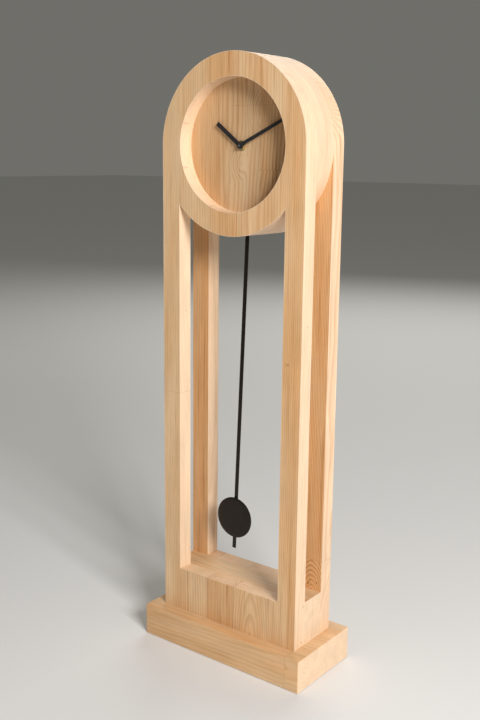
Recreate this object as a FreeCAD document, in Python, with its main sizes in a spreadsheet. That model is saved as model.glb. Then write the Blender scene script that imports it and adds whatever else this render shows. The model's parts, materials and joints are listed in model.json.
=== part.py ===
import FreeCAD, Part
import math
import os
import re
import Sketcher

# Pendulum floor clock.  Millimetres, +Z up, +X to the right of someone who faces the dial, +Y to the
# back.  The origin is the middle of the base, on the surface that the felt pads rest on.
# Two arched pine boards are held apart by a round drum behind the head and a block at the foot.
# The quartz movement hangs on the dial inside the drum and swings a pendulum between the boards.

os.makedirs("parts", exist_ok=True)
V = FreeCAD.Vector
AXIS_X = V(1, 0, 0)
AXIS_Y = V(0, 1, 0)
AXIS_Z = V(0, 0, 1)
doc = FreeCAD.newDocument("PendulumClock")

# ---------------------------------------------------------------- driving dimensions
SIZES = {
    # case
    "head_z": 860.0,          # middle of the dial
    "head_rad": 140.0,        # arch, drum and the arc above the window
    "board_depth": 28.0,      # thickness of the front and rear board
    "gap": 48.0,              # space between the boards
    "stile": 35.0,            # width of each upright beside the window
    "sill_z": 132.0,          # bottom of the window
    "hole_rad": 103.0,        # hole for the dial
    "ease": 1.2,              # eased edges of the boards
    "plinth_w": 330.0,
    "plinth_d": 153.0,
    "plinth_top": 56.0,
    "plinth_ease": 2.0,
    # dial
    "ring_rad": 110.0,        # outside of the ring in front of the dial
    "ring_deep": 13.0,
    "dial_rad": 122.0,
    "dial_thick": 6.0,
    "drum_bore": 124.0,
    "slot_half": 24.0,        # pendulum slot through the bottom of the drum
    "slot_front": -6.0,
    "slot_back": 10.0,
    # fasteners
    "dowel_rad": 4.0,
    "dowel_fit": 0.05,
    "dowel_bite": 15.0,       # how far a dowel goes into each board
    "drum_dowels": 132.0,     # radius of the ring of dowels in the drum
    "foot_dowel_z": 94.0,
    "dial_screws_rad": 116.0,
    "dial_screw_rad": 1.5,
    "dial_screw_long": 16.0,
    "foot_screw_x": 75.0,
    "foot_screw_y": 12.0,
    "foot_screw_rad": 2.5,
    "foot_screw_head": 5.5,
    "foot_screw_low": 20.0,
    "foot_screw_top": 106.0,
    "foot_screw_tip": 4.0,    # length of the point
    "foot_head_high": 3.0,
    "dial_head_high": 1.8,
    "recess_half": 0.35,      # half the width of a cross recess
    "recess_floor": 1.1,      # above the dial's back
    "through": 1.0,           # how far a cutter runs past a face
    "pad_rad": 12.0,
    "pad_thick": 2.5,
    "pad_proud": 1.0,
    "pad_x": 142.0,
    "pad_y": 55.0,
    # movement case, placed from the middle of the dial
    "case_half": 28.0,
    "case_low": 28.0,         # below the shaft
    "case_high": 58.0,        # above the shaft
    "case_front": -18.0,
    "case_split": -13.0,
    "case_back": -2.0,
    "case_wall": 1.5,
    "bay_z": -19.5,           # middle of the battery
    "battery_rad": 7.0,
    "battery_half": 24.0,
    "battery_y": -9.4,
    # shafts and wheels
    "tooth_module": 0.5,
    "wheel_gap": 10.0,        # distance between neighbouring arbors
    "shaft_rad": 1.6,
    "pipe_rad": 2.5,
    "bush_bore": 2.55,
    "bush_rad": 4.0,
    "run_fit": 0.05,
    "pivot_rad": 0.8,
    "seat_deep": 1.0,         # blind seat of a pivot in the case's front
    "bush_out": 9.2,          # the bush stands out of the case's front
    "flange_wide": 2.5,
    "flange_thick": 1.0,
    "washer_wide": 4.0,
    "washer_thick": 0.6,
    "nut_wide": 2.6,
    "nut_high": 2.2,
    "nut_front": 2.8,
    "pin_boss": 3.0,          # length of the pivot pin's boss
    "bay_room": 0.8,
    "bay_wall": 1.2,
    # motor, coil, circuit board and drive coil
    "motor_x": -14.5,
    "motor_up": 14.0,
    "coil_up": 27.0,
    "stator_y": -10.6,
    "stator_half": 9.5,
    "stator_thick": 0.8,
    "stator_low": 8.0,
    "plate_high": 21.0,
    "stator_high": 29.0,
    "stator_eye": 3.6,
    "leg_wide": 3.5,
    "core_half": 1.0,
    "tube_rad": 2.0,
    "former_rad": 4.6,
    "wire_rad": 4.2,
    "wire_half": 4.9,
    "former_wall": 1.0,
    "board_left": 7.0,
    "board_right": 25.0,
    "board_low": 13.0,
    "board_high": 50.0,
    "board_thick": 1.0,
    "chip_left": 11.0,
    "chip_low": 24.0,
    "chip_wide": 9.0,
    "chip_thick": 1.6,
    "drive_up": 43.0,
    "nub_rad": 2.7,
    "nub_long": 1.4,
    "contact_half": 5.0,
    "contact_high": 6.0,
    "contact_thick": 0.4,
    "spring_rad": 3.0,
    "contact_bend": 0.2,
    # hands
    "hour_long": 57.0,
    "hour_wide": 7.0,
    "hour_angle": -53.0,
    "minute_long": 96.0,
    "minute_wide": 5.5,
    "minute_angle": 65.0,
    "hour_hub": 5.0,
    "minute_hub": 4.4,
    "hour_front": 10.7,       # front of the hour hand, ahead of the case
    "minute_front": 12.8,
    "hand_thick": 0.8,
    # pendulum, built hanging straight down from its pivot and then leaned
    "pivot_up": 28.0,         # pivot above the middle of the dial
    "lean": 2.2,
    "pin_rad": 1.0,
    "hanger_long": 46.0,      # pivot to the hook
    "rod_wide": 7.0,
    "rod_thick": 1.5,
    "rod_front": 1.75,
    "rod_end": 714.4,         # pivot to the lower end of the strip
    "bob_drop": 657.0,        # pivot to the middle of the bob
    "bob_rad": 36.0,
    "bob_thick": 4.6,
    "hanger_front": -0.8,
    "hanger_back": 1.7,
    "arm_half": 3.0,
    "eye_rad": 5.0,
    "foot_rad": 4.0,
    "cup_rad": 6.0,
    "magnet_up": 15.0,
    "magnet_rad": 4.0,
    "hook_rad": 1.2,
    "lip_rad": 2.0,
    "lip_thick": 0.8,
    "hook_gap": 0.1,
    "rod_over": 5.0,          # the strip goes past its hook hole
    "clip_half": 11.0,
    "clip_high": 7.0,
    "clip_wall": 0.6,
    "clip_arm": 5.0,
}
sheet = doc.addObject("Spreadsheet::Sheet", "Params")
for row, (alias, number) in enumerate(SIZES.items(), start=1):
    sheet.set(f"A{row}", alias)
    sheet.set(f"B{row}", str(number))
    sheet.setAlias(f"B{row}", alias)
doc.recompute()

nodes = []


def size(alias):
    """Reads a driving dimension back from the sheet."""
    return float(getattr(sheet, alias))


def linked(text):
    """Turns plain sheet names in an expression into links to the sheet."""
    return re.sub(r"[a-z_]+", lambda word: f"Params.{word.group()}" if word.group() in SIZES
                  else word.group(), str(text))


def bind(thing, **expressions):
    """Binds properties to expressions; two underscores stand for a dot."""
    for prop, text in expressions.items():
        thing.setExpression(prop.replace("__", "."), linked(text))


def keep(thing, label):
    """Names an object as a sub-part of the clock."""
    thing.Label = label
    nodes.append(thing)
    return thing


# ---------------------------------------------------------------- Part helpers
def block(name, x_low, x_high, y_low, y_high, z_low, z_high):
    """Box between two corners given as expressions."""
    thing = doc.addObject("Part::Box", name)
    bind(thing, Length=f"({x_high})-({x_low})", Width=f"({y_high})-({y_low})",
         Height=f"({z_high})-({z_low})")
    bind(thing, Placement__Base__x=x_low, Placement__Base__y=y_low, Placement__Base__z=z_low)
    return thing


def round_y(name, radius, y_low, y_high, x="0", z="head_z"):
    """Cylinder along +Y."""
    thing = doc.addObject("Part::Cylinder", name)
    thing.Placement = FreeCAD.Placement(V(), FreeCAD.Rotation(AXIS_X, -90))
    bind(thing, Radius=radius, Height=f"({y_high})-({y_low})")
    bind(thing, Placement__Base__x=x, Placement__Base__y=y_low, Placement__Base__z=z)
    return thing


def round_x(name, radius, x_low, x_high, y, z):
    """Cylinder along +X."""
    thing = doc.addObject("Part::Cylinder", name)
    thing.Placement = FreeCAD.Placement(V(), FreeCAD.Rotation(AXIS_Y, 90))
    bind(thing, Radius=radius, Height=f"({x_high})-({x_low})")
    bind(thing, Placement__Base__x=x_low, Placement__Base__y=y, Placement__Base__z=z)
    return thing


def round_z(name, radius, x, y, z_low, z_high):
    """Cylinder along +Z."""
    thing = doc.addObject("Part::Cylinder", name)
    bind(thing, Radius=radius, Height=f"({z_high})-({z_low})")
    bind(thing, Placement__Base__x=x, Placement__Base__y=y, Placement__Base__z=z_low)
    return thing


def fuse(name, things):
    """Fusion of several objects."""
    thing = doc.addObject("Part::MultiFuse", name)
    thing.Shapes = list(things)
    return thing


def cut(name, base, tools):
    """Base with all tools taken away."""
    thing = doc.addObject("Part::Cut", name)
    thing.Base = base
    thing.Tool = tools[0] if len(tools) == 1 else fuse(name + "_tools", tools)
    return thing


def group(name, things):
    """Separate solids in one object."""
    thing = doc.addObject("Part::Compound", name)
    thing.Links = list(things)
    return thing


# ---------------------------------------------------------------- PartDesign helpers
def plane(body, role):
    """Origin plane of a body."""
    return next(item for item in body.Origin.OriginFeatures if item.Role == role)


def sketch_on(body, name, role, lift="0"):
    """Empty sketch on one of the body's own planes, lifted along its normal."""
    sketch = body.newObject("Sketcher::SketchObject", name)
    sketch.AttachmentSupport = [(plane(body, role), "")]
    sketch.MapMode = "FlatFace"
    bind(sketch, AttachmentOffset__Base__z=lift)
    return sketch


def pin_point(sketch, edge, end, x, y):
    """Holds one point of the sketch at a place given by two expressions."""
    spot = sketch.getPoint(edge, end)
    for kind, text, axis, now in (("DistanceX", x, -2, spot.x), ("DistanceY", y, -1, spot.y)):
        if text is None:
            continue
        if text == "0":
            sketch.addConstraint(Sketcher.Constraint("PointOnObject", edge, end, axis))
            continue
        index = sketch.addConstraint(Sketcher.Constraint(kind, -1, 1, edge, end, now))
        sketch.setExpression(f"Constraints[{index}]", linked(text))


def circle(sketch, radius, x="0", y="0"):
    """Circle of a bound radius and place."""
    edge = sketch.addGeometry(Part.Circle(V(1, 1, 0), AXIS_Z, 1.0), False)
    index = sketch.addConstraint(Sketcher.Constraint("Radius", edge, 1.0))
    sketch.setExpression(f"Constraints[{index}]", linked(radius))
    pin_point(sketch, edge, 3, x, y)
    return edge


def polygon(sketch, points):
    """Closed outline of straight lines through points given as pairs of expressions."""
    count = len(points)
    spots = [V(10 * math.cos(2 * math.pi * i / count), 10 * math.sin(2 * math.pi * i / count), 0)
             for i in range(count)]
    edges = [sketch.addGeometry(Part.LineSegment(spots[i], spots[(i + 1) % count]), False)
             for i in range(count)]
    for i, edge in enumerate(edges):
        sketch.addConstraint(Sketcher.Constraint("Coincident", edge, 2, edges[(i + 1) % count], 1))
    for edge, (x, y) in zip(edges, points):
        pin_point(sketch, edge, 1, x, y)
    return edges


def pad(body, sketch, length):
    """Pad of a sketch along its normal."""
    feature = body.newObject("PartDesign::Pad", sketch.Name + "_pad")
    feature.Profile = sketch
    bind(feature, Length=length)
    return feature


def pocket(body, sketch, length, reverse):
    """Pocket of a sketch, checked to take material away."""
    doc.recompute()
    before = body.Shape.Volume
    feature = body.newObject("PartDesign::Pocket", sketch.Name + "_pocket")
    feature.Profile = sketch
    feature.Reversed = reverse
    bind(feature, Length=length)
    doc.recompute()
    if body.Shape.Volume > before - 1e-3:
        raise RuntimeError(f"{feature.Name} cuts nothing")
    return feature


def turned(label, points, x="0", z="head_z"):
    """Turned piece about an axis along Y: the outline is given as (radius, y)."""
    body = doc.addObject("PartDesign::Body", label)
    sketch = sketch_on(body, label + "_section", "XY_Plane")
    polygon(sketch, points)
    spin = body.newObject("PartDesign::Revolution", label + "_spin")
    spin.Profile = sketch
    spin.ReferenceAxis = (sketch, ["V_Axis"])
    spin.Angle = 360
    bind(body, Placement__Base__x=x, Placement__Base__z=z)
    return body


# ---------------------------------------------------------------- boards
def arch(sketch):
    """Outline of a board: straight sides and foot, half round head."""
    half = size("head_rad")
    low = size("plinth_top")
    high = size("head_z")
    head = sketch.addGeometry(Part.ArcOfCircle(Part.Circle(V(0, high, 0), AXIS_Z, half), 0, math.pi), False)
    left = sketch.addGeometry(Part.LineSegment(V(-half, high, 0), V(-half, low, 0)), False)
    foot = sketch.addGeometry(Part.LineSegment(V(-half, low, 0), V(half, low, 0)), False)
    right = sketch.addGeometry(Part.LineSegment(V(half, low, 0), V(half, high, 0)), False)
    sketch.addConstraint(Sketcher.Constraint("Coincident", head, 2, left, 1))
    sketch.addConstraint(Sketcher.Constraint("Coincident", left, 2, foot, 1))
    sketch.addConstraint(Sketcher.Constraint("Coincident", foot, 2, right, 1))
    sketch.addConstraint(Sketcher.Constraint("Coincident", right, 2, head, 1))
    pin_point(sketch, head, 3, "0", "head_z")
    pin_point(sketch, left, 1, "-head_rad", "head_z")
    pin_point(sketch, left, 2, "-head_rad", "plinth_top")
    pin_point(sketch, right, 1, "head_rad", "plinth_top")
    pin_point(sketch, right, 2, None, "head_z")


def window(sketch):
    """Outline of the window: straight sides and sill, its top the lower arc of the head."""
    side = size("head_rad") - size("stile")
    low = size("sill_z")
    high = size("head_z")
    radius = size("head_rad")
    horn = high - math.sqrt(radius ** 2 - side ** 2)
    tilt = math.atan2(horn - high, side)
    arc = Part.ArcOfCircle(Part.Circle(V(0, high, 0), AXIS_Z, radius), -math.pi - tilt, tilt)
    top = sketch.addGeometry(arc, False)
    right = sketch.addGeometry(Part.LineSegment(V(side, horn, 0), V(side, low, 0)), False)
    sill = sketch.addGeometry(Part.LineSegment(V(side, low, 0), V(-side, low, 0)), False)
    left = sketch.addGeometry(Part.LineSegment(V(-side, low, 0), V(-side, horn, 0)), False)
    sketch.addConstraint(Sketcher.Constraint("Coincident", top, 2, right, 1))
    sketch.addConstraint(Sketcher.Constraint("Coincident", right, 2, sill, 1))
    sketch.addConstraint(Sketcher.Constraint("Coincident", sill, 2, left, 1))
    sketch.addConstraint(Sketcher.Constraint("Coincident", left, 2, top, 1))
    pin_point(sketch, top, 3, "0", "head_z")
    pin_point(sketch, right, 2, "head_rad-stile", "sill_z")
    pin_point(sketch, left, 1, "stile-head_rad", "sill_z")
    pin_point(sketch, right, 1, "head_rad-stile", None)
    pin_point(sketch, left, 2, "stile-head_rad", None)
    index = sketch.addConstraint(Sketcher.Constraint("Radius", top, radius))
    sketch.setExpression(f"Constraints[{index}]", linked("head_rad"))


def dowel_places():
    """Places of the dowels as (x, z): a ring of six in the drum and four in the foot."""
    ring = [(f"drum_dowels*cos({turn})", f"head_z+drum_dowels*sin({turn})")
            for turn in (0, 60, 120, 180, 240, 300)]
    foot = [(f"({x})", "foot_dowel_z") for x in (-110, -40, 40, 110)]
    return ring + foot


DIAL_SCREW_TURNS = (30, 90, 150, 210, 270, 330)


def board(label, front):
    """One arched board with its window, dial hole and dowel holes; the front one has a rebate too."""
    body = doc.addObject("PartDesign::Body", label)
    lift = "gap/2" if front else "-gap/2-board_depth"      # the sketch plane's normal points along -Y
    inner = "gap/2" if front else "-gap/2"
    outline = sketch_on(body, label + "_outline", "XZ_Plane", lift)
    arch(outline)
    pad(body, outline, "board_depth")
    opening = sketch_on(body, label + "_window", "XZ_Plane", lift)
    window(opening)
    pocket(body, opening, "board_depth", True)
    hole = sketch_on(body, label + "_hole", "XZ_Plane", lift)
    circle(hole, "hole_rad", "0", "head_z")
    pocket(body, hole, "board_depth", True)
    holes = sketch_on(body, label + "_dowel_holes", "XZ_Plane", inner)
    for x, z in dowel_places():
        circle(holes, "dowel_rad+dowel_fit", x, z)
    pocket(body, holes, "dowel_bite+dowel_fit", front)
    if front:
        rebate = sketch_on(body, label + "_rebate", "XZ_Plane", inner)
        circle(rebate, "ring_rad", "0", "head_z")
        pocket(body, rebate, "ring_deep", True)
        pilots = sketch_on(body, label + "_pilots", "XZ_Plane", inner)
        for turn in DIAL_SCREW_TURNS:
            circle(pilots, "dial_screw_rad", f"dial_screws_rad*cos({turn})",
                   f"head_z+dial_screws_rad*sin({turn})")
        pocket(body, pilots, "dial_screw_long-dial_thick", True)
    reach = size("gap") / 2 + size("board_depth")
    ease_edges(body, -reach if front else reach, "ease")
    return keep(body, label)


def ease_edges(body, y, radius):
    """Rounds a board's outline and dial hole in the plane at y; the window keeps its sharp horns."""
    doc.recompute()
    side = size("head_rad") - size("stile") + 1
    names = []
    for number, edge in enumerate(body.Tip.Shape.Edges, start=1):
        reach = edge.BoundBox
        in_plane = abs(reach.YMin - y) < 1e-4 and abs(reach.YMax - y) < 1e-4
        in_window = max(-reach.XMin, reach.XMax) < side and reach.ZMax < size("head_z") - size("hole_rad") + 1
        lower_arc = isinstance(edge.Curve, Part.Circle) and reach.ZMax < size("head_z")
        if in_plane and not in_window and not lower_arc:
            names.append(f"Edge{number}")
    return round_edges(body, names, radius)


def round_edges(body, names, radius):
    """Fillet on the named edges of a body's last feature."""
    last = body.Tip
    feature = body.newObject("PartDesign::Fillet", body.Name + "_eased")
    feature.Base = (last, names)
    bind(feature, Radius=radius)
    return feature


board("front_board", True)
board("rear_board", False)

# ---------------------------------------------------------------- drum, block, plinth
drum_dowels = [round_y(f"drum_bore_{i}", "dowel_rad+dowel_fit", "-gap/2-through", "gap/2+through", x, z)
               for i, (x, z) in enumerate(dowel_places()[:6])]
drum_hollow = round_y("drum_hollow", "drum_bore", "-gap/2-through", "gap/2+through")
drum_slot = block("drum_slot", "-slot_half", "slot_half", "slot_front", "slot_back",
                  "head_z-head_rad-through", "head_z-drum_bore+5*through")
keep(cut("head_drum", round_y("drum_blank", "head_rad", "-gap/2", "gap/2"),
         [drum_hollow, drum_slot] + drum_dowels), "head_drum")

foot_screws = [(f"({a})*foot_screw_x", f"({b})*foot_screw_y") for a in (-1, 1) for b in (-1, 1)]
foot_blank = block("foot_blank", "-head_rad", "head_rad", "-gap/2", "gap/2", "plinth_top", "sill_z")
foot_dowels = [round_y(f"foot_bore_{i}", "dowel_rad+dowel_fit", "-gap/2-through", "gap/2+through", x, z)
               for i, (x, z) in enumerate(dowel_places()[6:])]
foot_pilots = [round_z(f"foot_pilot_{i}", "foot_screw_rad", x, y, "plinth_top-through", "foot_screw_top")
               for i, (x, y) in enumerate(foot_screws)]
keep(cut("bottom_block", foot_blank, foot_dowels + foot_pilots), "bottom_block")

plinth = doc.addObject("PartDesign::Body", "plinth")
plinth_plan = sketch_on(plinth, "plinth_plan", "XY_Plane", "pad_proud")
polygon(plinth_plan, [("-plinth_w/2", "-plinth_d/2"), ("plinth_w/2", "-plinth_d/2"),
                      ("plinth_w/2", "plinth_d/2"), ("-plinth_w/2", "plinth_d/2")])
pad(plinth, plinth_plan, "plinth_top-pad_proud")
plinth_sinks = sketch_on(plinth, "plinth_sinks", "XY_Plane", "pad_proud")
plinth_shanks = sketch_on(plinth, "plinth_shanks", "XY_Plane", "pad_proud")
for x, y in foot_screws:
    circle(plinth_sinks, "foot_screw_head+0.5", x, y)
    circle(plinth_shanks, "foot_screw_rad", x, y)
pocket(plinth, plinth_shanks, "plinth_top-pad_proud", True)
pocket(plinth, plinth_sinks, "foot_screw_low-pad_proud", True)
plinth_pads = sketch_on(plinth, "plinth_pads", "XY_Plane", "pad_proud")
pad_places = [(f"({a})*pad_x", f"({b})*pad_y") for a in (-1, 1) for b in (-1, 1)]
for x, y in pad_places:
    circle(plinth_pads, "pad_rad+0.2", x, y)
pocket(plinth, plinth_pads, "pad_thick-pad_proud", True)
doc.recompute()
plinth_edges = [f"Edge{number}" for number, edge in enumerate(plinth.Tip.Shape.Edges, start=1)
                if edge.Length > 20 and not isinstance(edge.Curve, Part.Circle)
                and edge.BoundBox.Center.z > size("pad_proud") + 1
                and max(abs(edge.BoundBox.Center.x) - size("plinth_w") / 2,
                        abs(edge.BoundBox.Center.y) - size("plinth_d") / 2) > -1e-3]
round_edges(plinth, plinth_edges, "plinth_ease")
keep(plinth, "plinth")

# ---------------------------------------------------------------- dial and its ring
ring_blank = round_y("ring_blank", "ring_rad-0.1", "-gap/2-ring_deep", "-gap/2")
ring_hole = round_y("ring_hole", "hole_rad", "-gap/2-ring_deep-through", "-gap/2+through")
keep(cut("dial_ring", ring_blank, [ring_hole]), "dial_ring")


def dial_bore(name, radius, x="0", z="head_z"):
    """Cutter of a round hole through the dial."""
    return round_y(name, radius, "-gap/2-through", "-gap/2+dial_thick+through", x, z)


dial_holes = [dial_bore(f"dial_screw_hole_{turn}", "dial_screw_rad", f"dial_screws_rad*cos({turn})",
                        f"head_z+dial_screws_rad*sin({turn})")
              for turn in DIAL_SCREW_TURNS]
dial_holes.append(dial_bore("dial_bush_hole", "bush_rad+dowel_fit"))
keep(cut("dial", round_y("dial_blank", "dial_rad", "-gap/2", "-gap/2+dial_thick"), dial_holes), "dial")

# ---------------------------------------------------------------- fasteners and pads
keep(group("assembly_dowels",
           [round_y(f"dowel_{i}", "dowel_rad", "-gap/2-dowel_bite", "gap/2+dowel_bite", x, z)
            for i, (x, z) in enumerate(dowel_places())]), "assembly_dowels")


def dial_screw(turn):
    """Round head wood screw from the back of the dial into the front board."""
    x = f"dial_screws_rad*cos({turn})"
    z = f"head_z+dial_screws_rad*sin({turn})"
    tail = "-gap/2+dial_thick-dial_screw_long"
    shank = round_y(f"screw_shank_{turn}", "dial_screw_rad", tail, "-gap/2+dial_thick", x, z)
    head = round_y(f"screw_head_{turn}", "dial_screw_rad*2", "-gap/2+dial_thick",
                   "-gap/2+dial_thick+dial_head_high", x, z)
    floor = "-gap/2+dial_thick+recess_floor"
    top = "-gap/2+dial_thick+dial_head_high+through"
    across = block(f"screw_slot_{turn}", f"{x}-dial_screw_rad*2.2", f"{x}+dial_screw_rad*2.2",
                   floor, top, f"{z}-recess_half", f"{z}+recess_half")
    upright = block(f"screw_cross_{turn}", f"{x}-recess_half", f"{x}+recess_half", floor, top,
                    f"{z}-dial_screw_rad*1.4", f"{z}+dial_screw_rad*1.4")
    return cut(f"dial_screw_{turn}", fuse(f"screw_blank_{turn}", [shank, head]), [across, upright])


keep(group("dial_screws", [dial_screw(turn) for turn in DIAL_SCREW_TURNS]), "dial_screws")


def foot_screw(index, x, y):
    """Flat head wood screw from below, through the plinth into the block."""
    shank = round_z(f"long_shank_{index}", "foot_screw_rad", x, y, "foot_screw_low",
                    "foot_screw_top-foot_screw_tip")
    tip = doc.addObject("Part::Cone", f"long_tip_{index}")
    bind(tip, Radius1="foot_screw_rad", Radius2="0.3", Height="foot_screw_tip")
    bind(tip, Placement__Base__x=x, Placement__Base__y=y, Placement__Base__z="foot_screw_top-foot_screw_tip")
    head = round_z(f"long_head_{index}", "foot_screw_head", x, y, "foot_screw_low-foot_head_high",
                   "foot_screw_low")
    slot = block(f"long_slot_{index}", f"{x}-foot_screw_head", f"{x}+foot_screw_head", f"{y}-0.6",
                 f"{y}+0.6", "foot_screw_low-foot_head_high-through", "foot_screw_low-foot_head_high/2-0.1")
    return cut(f"plinth_screw_{index}", fuse(f"long_blank_{index}", [shank, tip, head]), [slot])


keep(group("plinth_screws", [foot_screw(i, x, y) for i, (x, y) in enumerate(foot_screws)]),
     "plinth_screws")
keep(group("felt_pads", [round_z(f"felt_pad_{i}", "pad_rad", x, y, "0", "pad_thick")
                         for i, (x, y) in enumerate(pad_places)]), "felt_pads")

# ---------------------------------------------------------------- movement case
WHEEL_X = "wheel_gap"
KNOB_X = "wheel_gap*2"
KNOB_BODY_RAD = 5.0
KNOB_BODY_HIGH = 4.0

front_shell = block("front_shell", "-case_half", "case_half", "case_front", "case_split",
                    "head_z-case_low", "head_z+case_high")
front_room = block("front_room", "case_wall-case_half", "case_half-case_wall", "case_front+case_wall",
                   "case_split+through", "head_z-case_low+case_wall", "head_z+case_high-case_wall")
front_cuts = [front_room, round_y("front_bush_hole", "bush_rad+dowel_fit", "case_front-through",
                                  "case_front+case_wall+through")]
front_cuts += [round_y(f"front_seat_{name}", "pivot_rad+run_fit", "case_front+case_wall-seat_deep",
                       "case_front+case_wall+through", x)
               for name, x in (("wheel", WHEEL_X), ("knob", KNOB_X))]
keep(cut("movement_case_front", front_shell, front_cuts), "movement_case_front")

back_shell = block("back_shell", "-case_half", "case_half", "case_split", "case_back",
                   "head_z-case_low", "head_z+case_high")
back_room = block("back_room", "case_wall-case_half", "case_half-case_wall",
                  "case_split-through", "case_back-case_wall",
                  "head_z+bay_z+battery_rad+bay_room+bay_wall", "head_z+case_high-case_wall")
bay = block("battery_bay", "case_wall-case_half", "case_half-case_wall", "case_split-through",
            "case_back+through", "head_z-case_low+case_wall", "head_z+bay_z+battery_rad+bay_room")
back_cuts = [back_room, bay]
back_cuts += [round_y(f"back_seat_{name}", radius, "case_back-case_wall-through", "case_back+through", x, z)
              for name, radius, x, z in (("shaft", "pivot_rad+run_fit", "0", "head_z"),
                                         ("wheel", "pivot_rad+run_fit", WHEEL_X, "head_z"),
                                         ("knob", "shaft_rad+run_fit", KNOB_X, "head_z"),
                                         ("pin", "pin_rad", "0", "head_z+pivot_up"))]
back_boss = round_y("back_boss", "pin_rad+2", "case_back-case_wall-pin_boss", "case_back-case_wall", "0",
                    "head_z+pivot_up")
boss_bore = round_y("boss_bore", "pin_rad", "case_back-case_wall-pin_boss-through", "case_back", "0",
                    "head_z+pivot_up")
keep(cut("movement_case_back", fuse("back_blank", [cut("back_walls", back_shell, back_cuts), back_boss]),
         [boss_bore]), "movement_case_back")

keep(turned("centre_bush", [("bush_bore", "case_front-bush_out"), ("bush_rad", "case_front-bush_out"),
                            ("bush_rad", "case_front+case_wall"),
                            ("bush_rad+flange_wide", "case_front+case_wall"),
                            ("bush_rad+flange_wide", "case_front+case_wall+flange_thick"),
                            ("bush_bore", "case_front+case_wall+flange_thick")]), "centre_bush")
WASHER_SECTION = [("bush_rad+2*run_fit", "-gap/2-washer_thick"),
                  ("bush_rad+washer_wide", "-gap/2-washer_thick"),
                  ("bush_rad+washer_wide", "-gap/2"), ("bush_rad+2*run_fit", "-gap/2")]
keep(turned("bush_washer", WASHER_SECTION), "bush_washer")
nut_body = doc.addObject("Part::Prism", "nut_body")
nut_body.Polygon = 6
nut_body.Placement = FreeCAD.Placement(V(), FreeCAD.Rotation(AXIS_X, -90))
bind(nut_body, Circumradius="bush_rad+nut_wide", Height="nut_high")
bind(nut_body, Placement__Base__y="-gap/2-nut_front", Placement__Base__z="head_z")
keep(cut("bush_nut", nut_body, [round_y("nut_bore", "bush_rad", "-gap/2-nut_front-through",
                                          "-gap/2+through")]), "bush_nut")

# ---------------------------------------------------------------- wheels and hands
PRESSURE = math.radians(20)
ADDENDUM = 0.8
DEDENDUM = 1.15
TOOTH_SHARE = 0.4         # of the pitch that one tooth fills
FLANK_STEPS = 4


def involute(angle):
    """The involute function tan(a) - a."""
    return math.tan(angle) - angle


def toothed(teeth, y_low, y_high, x, phase):
    """Spur wheel about an axis along Y, with involute flanks; phase turns it by a share of a pitch."""
    module = size("tooth_module")
    pitch = teeth * module / 2
    base = pitch * math.cos(PRESSURE)
    root = pitch - DEDENDUM * module
    tip = pitch + ADDENDUM * module
    start = max(base, root)
    half = math.pi * TOOTH_SHARE / teeth
    flank = []
    for step in range(FLANK_STEPS + 1):
        radius = start + (tip - start) * step / FLANK_STEPS
        spread = involute(math.acos(min(1.0, base / radius)))
        flank.append((radius, half + involute(PRESSURE) - spread))
    side = [(root, flank[0][1])] + flank
    points = []
    for tooth in range(teeth):
        middle = 2 * math.pi * (tooth + phase) / teeth
        rising = [(radius, middle - turn) for radius, turn in side]
        falling = [(radius, middle + turn) for radius, turn in reversed(side)]
        points += [V(x + radius * math.cos(turn), y_low, size("head_z") + radius * math.sin(turn))
                   for radius, turn in rising + falling]
    wire = Part.makePolygon(points + [points[0]])
    return Part.Face(wire).extrude(V(0, y_high - y_low, 0))


def stem(radius, y_low, y_high, x):
    """Plain cylinder along Y at the height of the dial's middle."""
    return Part.makeCylinder(radius, y_high - y_low, V(x, y_low, size("head_z")), AXIS_Y)


def wheel(label, solids, bore=None):
    """One toothed piece from its fused solids, with an optional bore."""
    shape = solids[0].multiFuse(solids[1:])
    if bore is not None:
        shape = shape.cut(bore)
    thing = doc.addObject("Part::Feature", label)
    thing.Shape = shape.removeSplitter()
    thing.Placement = FreeCAD.Placement()
    return keep(thing, label)


case_in = size("case_front") + size("case_wall")
case_out = size("case_back") - size("case_wall")
bush_end = size("case_front") - size("bush_out")
SHAFT_OUT = 4.2           # the minute shaft stands out of the bush
PIPE_OUT = 1.6            # the hour pipe stands out of the bush
HOUR_Y = (-15.0, -14.0)   # each toothed face from front to back
CANNON_Y = (-12.6, -10.6)
STEP_Y = (-12.2, -11.2)
LOW_PINION_Y = (-15.3, -13.7)
END_PLAY = 0.1
ARBOR_RAD = 1.0
shaft_tip = bush_end - SHAFT_OUT
front_seat = case_in - size("seat_deep") + END_PLAY
wheel_x = size("wheel_gap")
knob_x = 2 * size("wheel_gap")
knob_y = size("case_back") + 0.5
wheel("minute_shaft", [toothed(10, CANNON_Y[0], CANNON_Y[1], 0.0, 0.0),
                       stem(size("shaft_rad"), shaft_tip, CANNON_Y[1], 0.0),
                       stem(size("shaft_rad"), CANNON_Y[1], case_out, 0.0),
                       stem(size("pivot_rad"), case_out, size("case_back"), 0.0)])
wheel("hour_wheel", [toothed(32, HOUR_Y[0], HOUR_Y[1], 0.0, 0.0),
                     stem(size("pipe_rad"), bush_end - PIPE_OUT, HOUR_Y[1], 0.0)],
      stem(size("shaft_rad") + size("run_fit"), bush_end - PIPE_OUT - 1, HOUR_Y[1] + 1, 0.0))
wheel("intermediate_wheel", [toothed(30, STEP_Y[0], STEP_Y[1], wheel_x, 0.5),
                             toothed(8, LOW_PINION_Y[0], LOW_PINION_Y[1], wheel_x, 0.5),
                             stem(ARBOR_RAD, LOW_PINION_Y[0], case_out - END_PLAY, wheel_x),
                             stem(size("pivot_rad"), front_seat, size("case_back"), wheel_x)])
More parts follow.
